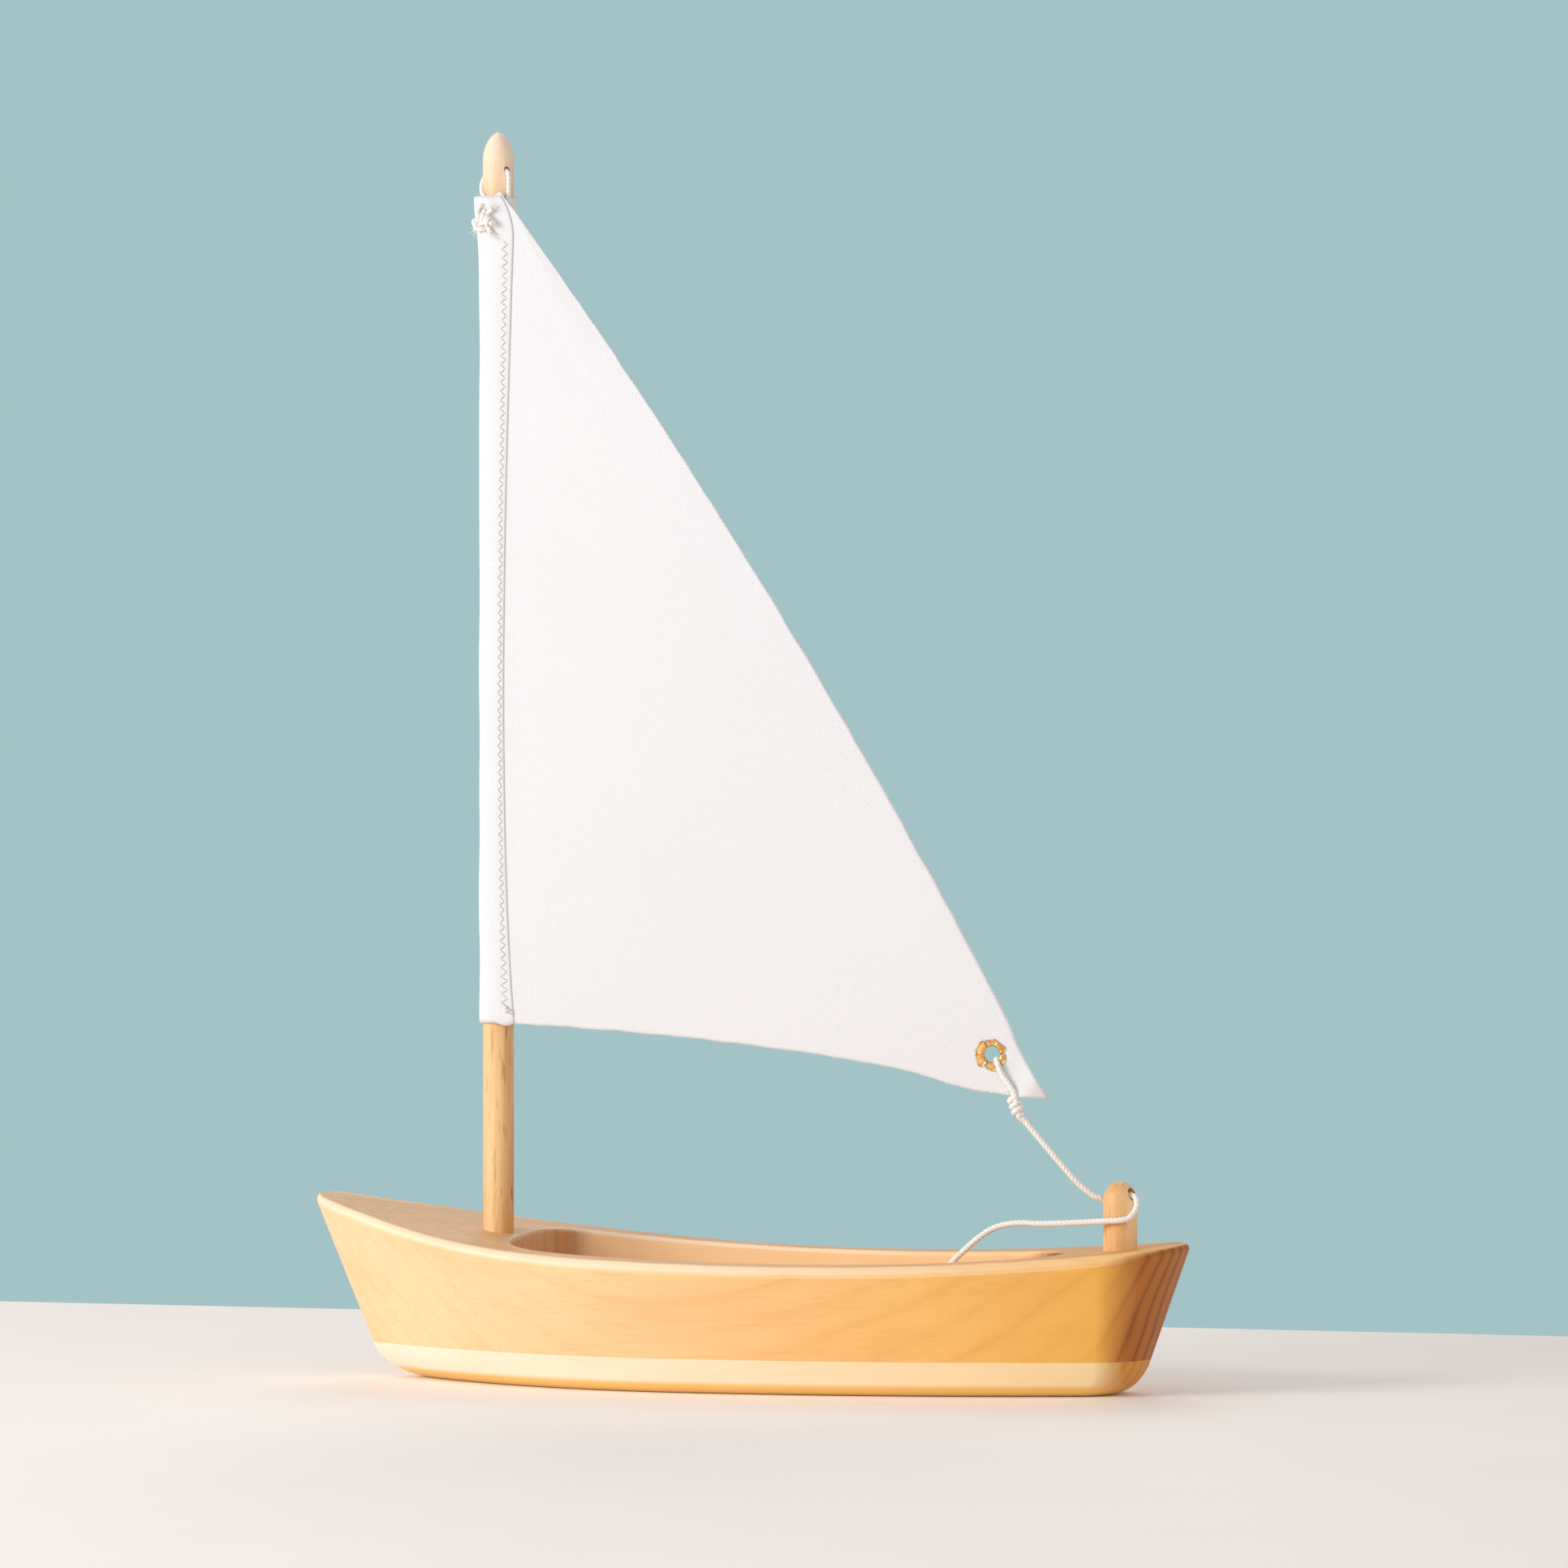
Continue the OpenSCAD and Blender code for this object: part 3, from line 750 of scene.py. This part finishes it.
def build_panel():
    """Triangular canvas panel, bellied by the cloth simulation, with a hole for the eyelet."""
    rng = random.Random(SEED)
    points, pins = [], []
    for i in range(PANEL_UP + 1):
        t = (i / PANEL_UP) ** 1.1
        for j in range(PANEL_ACROSS + 1):
            point = panel_point(j / PANEL_ACROSS, t)
            point.y = SAIL_Y
            ragged = 0.28 * MM if i == 0 or j == PANEL_ACROSS else 0.0
            if mast_x - point.x < FLAP_W + 0.5 * MM or from_eyelet(point) < eyelet_r:
                pins.append(len(points))
            stray = Vector((rng.uniform(-ragged, ragged), 0, rng.uniform(-ragged, ragged)))
            points.append(point + stray)
    faces = grid_faces(PANEL_UP + 1, PANEL_ACROSS + 1)
    flat = make_mesh("sail_panel_cloth", points, faces, canvas)
    settle(flat, pins, pressure=0.12)
    finer = flat.modifiers.new("finer", "SUBSURF")
    finer.levels = finer.render_levels = 1
    apply_modifiers(flat)
    vertices, faces = cut_eyelet_hole(flat, 3.2 * MM)
    bpy.data.objects.remove(flat)
    for vertex in vertices:
        past_fold = (vertex.x - CLEW.x) * 0.8 + (vertex.z - CLEW.z) * 0.45
        vertex.y += 1.6 * MM * bump_at(past_fold, 6.0 * MM, 4.0 * MM)
        vertex.y -= 0.8 * MM * bump_at(past_fold, 0, 4 * MM)
    panel = make_mesh("sail_panel", vertices, faces, canvas)
    thicken(panel)
    return panel


def seam_drift(t):
    """How far the sewn seam wanders forward along the luff; t from foot to head."""
    return 3.7 * MM * math.sin(math.pi * t**0.75)


def sleeve_section(flap_w):
    """Section of the luff sleeve: flap on the port side, round the mast's front, back to the seam."""
    r = mast_r + 0.9 * MM
    panel_face = SAIL_Y + CLOTH_T / 2
    points = [Vector((-flap_w, panel_face - 0.08 * MM, 0)),
              Vector((-flap_w + 0.4 * MM, panel_face + 0.08 * MM, 0))]
    for share in (0.75, 0.5, 0.25):
        points.append(Vector((-flap_w * share, panel_face + 0.12 * MM, 0)))
    for degrees in range(78, -226, -16):
        a = math.radians(degrees)
        points.append(Vector((r * math.cos(a), r * math.sin(a), 0)))
    points.append(Vector((-4.4 * MM, SAIL_Y - CLOTH_T * 1.1, 0)))
    return smooth_path(points, 0.6 * MM)


def evenly(path, count):
    """The same path with a given number of points."""
    at = np.linspace(0, len(path) - 1, count)
    return np.stack([np.interp(at, range(len(path)), path[:, k]) for k in range(3)], axis=1)


def build_sleeve():
    """Luff sleeve with a slightly rippled wall; its head flares where the halyard ties it."""
    rows, columns = 150, 72
    rng = random.Random(SEED)
    ripples = [(rng.uniform(20, 90), rng.uniform(0, 6), rng.uniform(0.03, 0.09) * MM)
               for _ in range(5)]
    points = []
    for i in range(rows + 1):
        t = i / rows
        z = LUFF_LOW + t * (SLEEVE_TOP - LUFF_LOW)
        from_top, from_foot = SLEEVE_TOP - z, z - LUFF_LOW
        narrowing = 0.62 * (1 - min(1, from_top / (14 * MM))) ** 2
        section = evenly(sleeve_section(FLAP_W * (1 - narrowing) - seam_drift(t)), columns)
        for k, (x, y, _) in enumerate(section):
            out = Vector((x, y, 0)).normalized()
            around = math.atan2(y, x)
            front = max(0.0, math.cos(around - 0.2))
            wave = sum(size * math.sin(rate * t + start + 2 * around) for rate, start, size in ripples)
            shift = wave * front + 1.8 * MM * front * bump_at(from_top, 0, 13 * MM)
            hem = 0.9 * MM * bump_at(k, 5, 4) * bump_at(from_foot, 0, 4 * MM)
            points.append(Vector((mast_x + x + out.x * shift, y + out.y * shift, z - hem)))
    faces = grid_faces(rows + 1, columns)
    sleeve = make_mesh("sail_sleeve", points, faces, canvas)
    thicken(sleeve)
    return sleeve


def build_stitching():
    """Zigzag seam: each stitch lies on the flap and dips into the cloth at both ends."""
    pitch = 2.85 * MM
    face_y = SAIL_Y + CLOTH_T + 0.12 * MM
    rng = random.Random(SEED)
    low, high = LUFF_LOW + 5 * MM, SLEEVE_TOP - 13 * MM
    corners = []
    for i in range(int((high - low) / pitch * 2)):
        z = low + i * pitch / 2
        drift = seam_drift((z - LUFF_LOW) / (SLEEVE_TOP - LUFF_LOW))
        middle = mast_x - 4.5 * MM + 0.57 * drift
        half = 1.1 * MM - 0.14 * drift + 0.3 * MM * bump_at(z, LUFF_LOW, 20 * MM)
        side = half if i % 2 else -half
        corners.append(Vector((middle + side + rng.uniform(-0.12, 0.12) * MM, face_y, z)))
    path = []
    for a, b in zip(corners, corners[1:]):
        for t in (0.0, 0.25, 0.5, 0.75):
            lift = 0.17 * MM * math.sin(math.pi * t) - 0.05 * MM
            path.append(a.lerp(b, t) + Vector((0, lift, 0)))
    parts = [tube(np.array([tuple(p) for p in path]), 0.14 * MM, 6)]
    end = [corners[0] + mm(1.2 * math.sin(2.1 * k), 0.15 + 0.05 * (k % 3), -0.4 * k) for k in range(6)]
    end += [corners[0] + mm(-1.5 + 1.1 * k, 0.25, -1.6 + 0.9 * k) for k in range(4)]
    parts.append(tube(smooth_path(end, 0.3 * MM), 0.13 * MM, 5))
    vertices, faces = join(parts)
    return make_mesh("luff_zigzag", vertices, faces, thread_cotton)


panel = build_panel()
sleeve = build_sleeve()
stitching = build_stitching()
for piece, slot_name in ((panel, "canvas"), (sleeve, "canvas"), (stitching, "thread")):
    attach(piece, "sail")
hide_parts("sail")
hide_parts("luff_stitching")


# ---- eyelet ----

EYELET_HOLE_R = 2.5 * MM
PETALS = 6
PETAL_BEND = 0.7 * MM
PETAL_WALL = 0.32 * MM


def lathe(profile, steps=72):
    """Ring turned about the eyelet's axis; profile is (radius, y) pairs round the section."""
    points = []
    for i in range(steps):
        a = 2 * math.pi * i / steps
        for r, y in profile:
            points.append(eyelet + Vector((r * math.cos(a), y, r * math.sin(a))))
    return points, [tuple(reversed(face)) for face in looped_faces(steps, len(profile))]


def petal_section(reach, lift):
    """Points (radius, y) of a petal, from the barrel round the bend and out to its tip."""
    section = []
    for t in np.linspace(0, 1, 9):
        turn = min(t * 2, 1) * math.pi / 2
        flat = max(0, t - 0.5)
        bend_r = EYELET_HOLE_R + PETAL_BEND * (1 - math.cos(turn))
        r = bend_r + flat * 2 * (reach - EYELET_HOLE_R - PETAL_BEND)
        y = CLOTH_T * 0.75 - PETAL_BEND + 0.95 * MM * math.sin(turn) - flat * 0.5 * MM + lift * t
        section.append((r, y))
    return section


def plate(front, back, rows, columns):
    """Points and faces of a thin plate between two grids of points."""
    count = rows * columns
    faces = [tuple(reversed(face)) for face in grid_faces(rows, columns)]
    faces += [tuple(count + v for v in face) for face in grid_faces(rows, columns)]
    grid = np.arange(count).reshape(rows, columns)
    rim = np.concatenate([grid[:, 0], grid[-1, 1:], grid[-2::-1, -1], grid[0, -2:0:-1]]).tolist()
    for a, b in zip(rim, rim[1:] + rim[:1]):
        faces.append((a, b, count + b, count + a))
    return front + back, faces


def torn_petal(number, section, start, width):
    """Petal on a section, from angle start over an angle width, with an uneven tip."""
    across = 9
    front, back = [], []
    for q in np.linspace(0, 1, across):
        a = start + width * q
        torn = 0.05 * math.sin(9 * q + number) - 0.10 * (2 * q - 1) ** 4
        for k, (r, y) in enumerate(section):
            reach = r * (1 + torn * (k / (len(section) - 1)) ** 2)
            point = eyelet + Vector((reach * math.cos(a), y, reach * math.sin(a)))
            half = Vector((0, PETAL_WALL / 2, 0))
            front.append(point + half)
            back.append(point - half)
    return plate(front, back, across, len(section))


def eyelet_petals():
    """Split petals of the barrel, rolled out flat on the port face, each a little different."""
    rng = random.Random(SEED)
    pitch = 2 * math.pi / PETALS
    parts = []
    for number in range(PETALS):
        start = pitch * number + rng.uniform(-0.06, 0.06)
        width = pitch - rng.uniform(0.03, 0.12)
        reach = rng.uniform(0.90, 1.10) * eyelet_r
        lift = rng.uniform(0.0, 0.25) * MM
        parts.append(torn_petal(number, petal_section(reach, lift), start, width))
    return parts


def build_eyelet():
    """Brass eyelet: rolled ring behind, short barrel, split petals in front."""
    front_y, back_y = CLOTH_T / 2, -CLOTH_T / 2 - 0.3 * MM
    middle, half = (EYELET_HOLE_R + eyelet_r) / 2, (eyelet_r - EYELET_HOLE_R) / 2
    back = [(middle + half * math.cos(a), back_y + 0.32 * MM * math.sin(a))
            for a in np.linspace(0, 2 * math.pi, 14, endpoint=False)]
    outer = EYELET_HOLE_R + 0.3 * MM
    barrel = [(EYELET_HOLE_R, back_y), (EYELET_HOLE_R, front_y), (outer, front_y), (outer, back_y)]
    vertices, faces = join([lathe(back), lathe(barrel)] + eyelet_petals())
    return make_mesh("eyelet_rolled", vertices, faces, brass)


rolled = build_eyelet()
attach(rolled, "sail")
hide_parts("clew_eyelet")


# ---- cords ----

CORD_R = 1.0 * MM
TWIST_PITCH = 4.2 * MM
STRANDS = 3


def any_direction(rng):
    """Random vector, equally likely in every direction."""
    return Vector((rng.gauss(0, 1), rng.gauss(0, 1), rng.gauss(0, 1)))


def fuzz(path, radius, count, rng):
    """Loose cotton fibres that stand off a cord."""
    parts = []
    for _ in range(count):
        i = rng.randrange(2, len(path) - 2)
        root = Vector(path[i])
        out = any_direction(rng).normalized()
        lean = Vector(path[i + 1] - path[i]).normalized() * rng.uniform(-0.8, 0.8)
        length = rng.uniform(0.5, 1.4) * MM
        tip = root + out * (radius + length * 0.5) + lean * length
        middle = root + out * radius * 1.02 + lean * length * 0.3
        hair = smooth_path([root + out * radius * 0.8, middle, tip], 0.3 * MM)
        parts.append(tube(hair, 0.028 * MM, 3))
    return parts


def rope(path, radius=CORD_R, fibres_per_metre=900, seed=SEED):
    """Twisted cord along a path: strands that wind round each other, with a few loose fibres."""
    normals, sideways = transported_frames(path)
    run = distance_along(path)
    parts = []
    for k in range(STRANDS):
        angle = 2 * math.pi * (run[:, None] / TWIST_PITCH + k / STRANDS)
        out = np.cos(angle) * normals + np.sin(angle) * sideways
        parts.append(tube(path + out * radius * 0.34, radius * 0.68, 8))
    rng = random.Random(seed)
    parts += fuzz(path, radius, int(run[-1] * fibres_per_metre), rng)
    return parts


def coil(centre, axis, radius, turns, length, start=0.0):
    """Points of a coil round an axis through centre."""
    axis = axis.normalized()
    side = axis.orthogonal().normalized()
    other = axis.cross(side)
    steps = int(turns * 10)
    points = []
    for i in range(steps + 1):
        t = i / steps
        a = start + 2 * math.pi * turns * t
        out = side * math.cos(a) + other * math.sin(a)
        points.append(centre + axis * length * (t - 0.5) + out * radius)
    return points


def frayed_end(root, direction, length, count, rng):
    """Brush of fibres where a cord was cut."""
    parts = []
    direction = direction.normalized()
    for _ in range(count):
        spread = any_direction(rng) * 0.32
        start = root + spread * CORD_R * 1.2
        middle = start + (direction + spread * 0.5) * length * 0.5
        tip = middle + (direction + spread * 1.6) * length * rng.uniform(0.3, 0.6)
        parts.append(tube(smooth_path([start, middle, tip], 0.4 * MM), 0.05 * MM, 4))
    return parts


def cord_piece(name, parts):
    """One piece made of cord."""
    vertices, faces = join(parts)
    piece = make_mesh(name, vertices, faces, cord_cotton)
    return piece


fray = random.Random(SEED)
PANEL_FACE = CLOTH_T / 2 + CORD_R + 0.45 * MM
KNOT = eyelet + mm(-7.9, 0.0, -17.2)
SHEET_HOLE_Z = post_hi.z - 4.0 * MM
SHEET_TURN = 158
HALYARD_HOLE_Z = mast_hi.z - 12.5 * MM
HALYARD_TURN = 142
HALYARD_R = CORD_R * 0.75


def beside(x, surface_r, gap, degrees, z):
    """Point beside the upright dowel at x, gap (in mm) outside its surface."""
    reach = surface_r + gap * MM
    turn = math.radians(degrees)
    return Vector((x + reach * math.cos(turn), reach * math.sin(turn), z))


def by_mast(gap, degrees, drop):
    """Point beside the mast, drop (in mm) below the sleeve's top."""
    return beside(mast_x, mast_r, gap, degrees, SLEEVE_TOP - drop * MM)


def by_post(gap, degrees, drop):
    """Point beside the sheet post, drop (in mm) below its hole."""
    return beside(post_x, post_r, gap, degrees, SHEET_HOLE_Z - drop * MM)


def build_sheet_loop():
    """Sheet from the knot up the port face, through the eyelet, down the starboard face."""
    through = eyelet + mm(-1.5, 0, -1.6)
    out = Vector((0, 1, 0))
    points = [KNOT + mm(0.0, 0.3, 0.5),
              KNOT + mm(0.6, 1.7, 5.5),
              through + out * PANEL_FACE + mm(-2.2, 0, -5.0),
              through + out * PANEL_FACE * 0.9 + mm(-0.6, 0, -1.4),
              through + out * CLOTH_T * 0.6,
              through - out * PANEL_FACE * 0.9 + mm(-0.3, 0, -1.2),
              through - out * PANEL_FACE + mm(-1.2, 0, -5.0),
              KNOT + mm(2.3, -1.2, 5.0),
              KNOT + mm(0.4, -0.4, 1.0)]
    return cord_piece("sheet_loop", rope(smooth_path(points), CORD_R * 0.9, seed=11))


def build_sheet_knot():
    """Slim lumpy knot: tight turns round the standing part, a lower lump and a short cut end."""
    lean = Vector((-0.38, 0.0, -1.0))
    turns = coil(KNOT + mm(0.3, 0, 1.2), lean, CORD_R * 1.35, 2.9, 5.6 * MM, start=0.6)
    end = turns[0] + mm(1.6, 0.9, 1.2)
    parts = rope(smooth_path([end] + turns), CORD_R * 0.9, fibres_per_metre=3000, seed=12)
    core = smooth_path([KNOT + mm(0.5, 0, 3.2), KNOT, KNOT + mm(-2.0, 0, -3.6)])
    parts += rope(core, CORD_R * 1.1, seed=13)
    lump = coil(KNOT + mm(-1.2, 0.3, -2.2), mm(1.0, 0.2, 0.4), CORD_R * 0.7, 1.2, 1.4 * MM)
    parts += rope(smooth_path(lump), CORD_R * 0.8, fibres_per_metre=3000, seed=20)
    parts += frayed_end(end, Vector((0.9, 0.5, -0.3)), 1.3 * MM, 16, fray)
    return cord_piece("sheet_knot", parts)


def build_sheet_running():
    """Sheet from the knot to the post's fore mouth, slack enough to hang in a curve."""
    start = KNOT + mm(-1.9, 0, -2.8)
    mouth = by_post(0.2, SHEET_TURN - 180, 2.4)
    points = [start]
    for share, sag in ((0.2, 1.8), (0.4, 3.5), (0.6, 4.6), (0.8, 3.4), (0.93, 1.0)):
        points.append(start.lerp(mouth, share) - mm(0.35, 0, 1.0) * sag)
    points += [mouth, Vector((post_x, 0, SHEET_HOLE_Z))]
    return cord_piece("sheet_running", rope(smooth_path(points), seed=14))


def build_sheet_tail():
    """Sheet from inside the post, out aft, round its port side and forward into the cockpit."""
    points = [Vector((post_x, 0, SHEET_HOLE_Z)), by_post(-0.4, SHEET_TURN, 0.5)]
    for gap, degrees, drop in ((1.0, 156, 2.1), (1.15, 151, 4.2), (1.15, 140, 6.0), (1.1, 124, 7.4),
                               (1.1, 107, 7.8), (1.15, 92, 8.0)):
        points.append(by_post(gap, degrees, drop))
    points += [tail_pivot - mm(5.5, 0, -0.4), tail_pivot]
    reach, fall = tail_hi.x - tail_pivot.x, tail_pivot.z - tail_lo.z
    for t in (0.15, 0.3, 0.42, 0.54, 0.64, 0.73, 0.81, 0.89, 0.96):
        sway = 0.5 * MM * math.sin(9 * t)
        back = 3.2 * MM * bump_at(t, 0.82, 0.2)
        dip = 0.7 * MM * bump_at(t, 0.25, 0.14)
        side = 2 * MM * t * t + sway
        points.append(tail_pivot + Vector((reach * t - back, side, -fall * t**4.4 - dip)))
    parts = rope(smooth_path(points), seed=15)
    parts += frayed_end(points[-1], points[-1] - points[-2], 2.2 * MM, 18, fray)
    return cord_piece("sheet_loose_end", parts)


loop, knot = build_sheet_loop(), build_sheet_knot()
running, loose_end = build_sheet_running(), build_sheet_tail()
for piece in (loop, knot):
    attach(piece, "sail")
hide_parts("sheet_clew_end")
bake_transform(running)
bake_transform(loose_end)
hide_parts("sheet_post_turn", "sheet_tail")


def build_halyard():
    """Cord from the knot up inside the sleeve, round the mast's front, through it, and down aft."""
    hole = (SLEEVE_TOP - HALYARD_HOLE_Z) / MM + 0.3
    round_front = ((2.0, 76, 6.5), (0.9, 76, 4.0), (0.6, 66, 1.2), (0.5, 44, -0.6), (0.4, 22, -2.2),
                   (0.4, 4, -4.4), (0.4, -18, -6.8), (0.1, HALYARD_TURN - 180, hole))
    down_aft = ((-0.5, hole), (0.75, hole + 1.5), (0.8, hole + 4.5), (0.8, -0.5), (0.8, 3.0))
    points = [by_mast(gap, degrees, drop) for gap, degrees, drop in round_front]
    points.append(Vector((mast_x, 0, HALYARD_HOLE_Z)))
    points += [by_mast(gap, HALYARD_TURN, drop) for gap, drop in down_aft]
    return cord_piece("halyard_cord", rope(smooth_path(points), HALYARD_R, seed=16))


def build_halyard_knot():
    """Flat fuzzy knot of several lumps on the sleeve's port bow side, with three short cut ends."""
    centre = by_mast(2.6, 66, 7.2)
    lumps = ((66, 7.0, 1.5, 2.2), (36, 8.6, 1.2, 1.8), (84, 8.8, 1.2, 1.6), (58, 4.2, 1.1, 1.4),
             (62, 10.2, 1.0, 1.5))
    parts = []
    for seed, (degrees, drop, radius, turns) in enumerate(lumps, start=17):
        lump = by_mast(2.2, degrees, drop)
        axis = lump - centre + mm(1, 0.4, 0.3)
        loops = coil(lump, axis, radius * MM, turns, 3.0 * MM, start=seed)
        parts += rope(smooth_path(loops), HALYARD_R, fibres_per_metre=4500, seed=seed)
    for degrees, drop, seed in ((28, 10.4, 27), (88, 12.0, 28), (92, 4.4, 29)):
        tip = by_mast(2.2, degrees, drop)
        parts += rope(smooth_path([centre, centre.lerp(tip, 0.6), tip]), HALYARD_R, seed=seed)
        parts += frayed_end(tip, tip - centre, 1.5 * MM, 30, fray)
    return cord_piece("halyard_knot_frayed", parts)


halyard, halyard_knot = build_halyard(), build_halyard_knot()
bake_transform(halyard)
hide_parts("halyard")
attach(halyard_knot, "sail")
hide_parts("halyard_knot")


# ---- stage, light and camera ----

def build_table():
    """Plain pale tabletop whose far edge lies a little behind the boat."""
    behind, ahead, wide, thick = -0.26, 1.3, 2.6, 0.03
    points = [Vector((x, y, z)) for z in (0.0, -thick) for x, y in
              ((-wide, behind), (wide, behind), (wide, ahead), (-wide, ahead))]
    faces = [(0, 1, 2, 3), (7, 6, 5, 4), (0, 4, 5, 1), (1, 5, 6, 2), (2, 6, 7, 3), (3, 7, 4, 0)]
    paint = matt_floor("tabletop_paint", srgb(255, 249, 243), srgb(240, 231, 222))
    table = make_mesh("tabletop", points, faces, paint, smooth=False)
    bevel = table.modifiers.new("soft_edge", "BEVEL")
    bevel.width, bevel.segments = 8 * MM, 4


def area_light(name, place, aim, size, power, colour):
    """Round area light at a place, turned to face aim."""
    light = bpy.data.lights.new(name, "AREA")
    light.shape, light.size, light.energy, light.color = "DISK", size, power, colour
    obj = bpy.data.objects.new(name, light)
    obj.location = place
    obj.rotation_euler = (Vector(aim) - Vector(place)).to_track_quat("-Z", "Y").to_euler()
    bpy.context.scene.collection.objects.link(obj)


def build_lights():
    """Low soft key from the bow side, weak fill from aft and a soft back light."""
    middle = (0, 0, 0.17)
    area_light("key", (1.35, 1.30, 0.72), middle, 1.0, 25, (1.0, 0.99, 0.98))
    area_light("fill", (-1.3, 1.5, 0.6), middle, 1.2, 3.6, (1.0, 0.98, 0.96))
    area_light("back", (0.3, -1.3, 1.3), middle, 1.0, 5, (1.0, 1.0, 1.0))


def build_backdrop():
    """Plain blue-green behind the boat, which still gets neutral light from all round."""
    world = bpy.data.worlds.new("studio")
    world.use_nodes = True
    nodes, links = world.node_tree.nodes, world.node_tree.links
    sky = nodes.new("ShaderNodeMix")
    sky.data_type = "RGBA"
    sky.inputs[COLOUR_A].default_value = srgb(191, 190, 190)
    sky.inputs[COLOUR_B].default_value = srgb(164, 195, 199)
    links.new(nodes.new("ShaderNodeLightPath").outputs["Is Camera Ray"], sky.inputs[0])
    links.new(sky.outputs[MIXED], nodes["Background"].inputs["Color"])
    bpy.context.scene.world = world


def build_camera():
    """Long lens, level, a little aft of abeam on the port side."""
    turn = math.radians(15.3)
    distance, side_step, height = 2.107, -0.0921, 0.1918
    from_mast_x = -(distance * math.sin(turn) - side_step * math.cos(turn))
    from_mast_y = distance * math.cos(turn) + side_step * math.sin(turn)
    data = bpy.data.cameras.new("camera")
    data.lens, data.sensor_width = 150, 36
    obj = bpy.data.objects.new("camera", data)
    obj.location = (mast_x + from_mast_x, from_mast_y, height)
    ahead = Vector((math.sin(turn), -math.cos(turn), 0))
    obj.rotation_euler = ahead.to_track_quat("-Z", "Y").to_euler()
    data.clip_end = 20
    bpy.context.scene.collection.objects.link(obj)
    bpy.context.scene.camera = obj


build_table()
build_lights()
build_backdrop()
build_camera()
bpy.context.scene.view_settings.view_transform = "Standard"
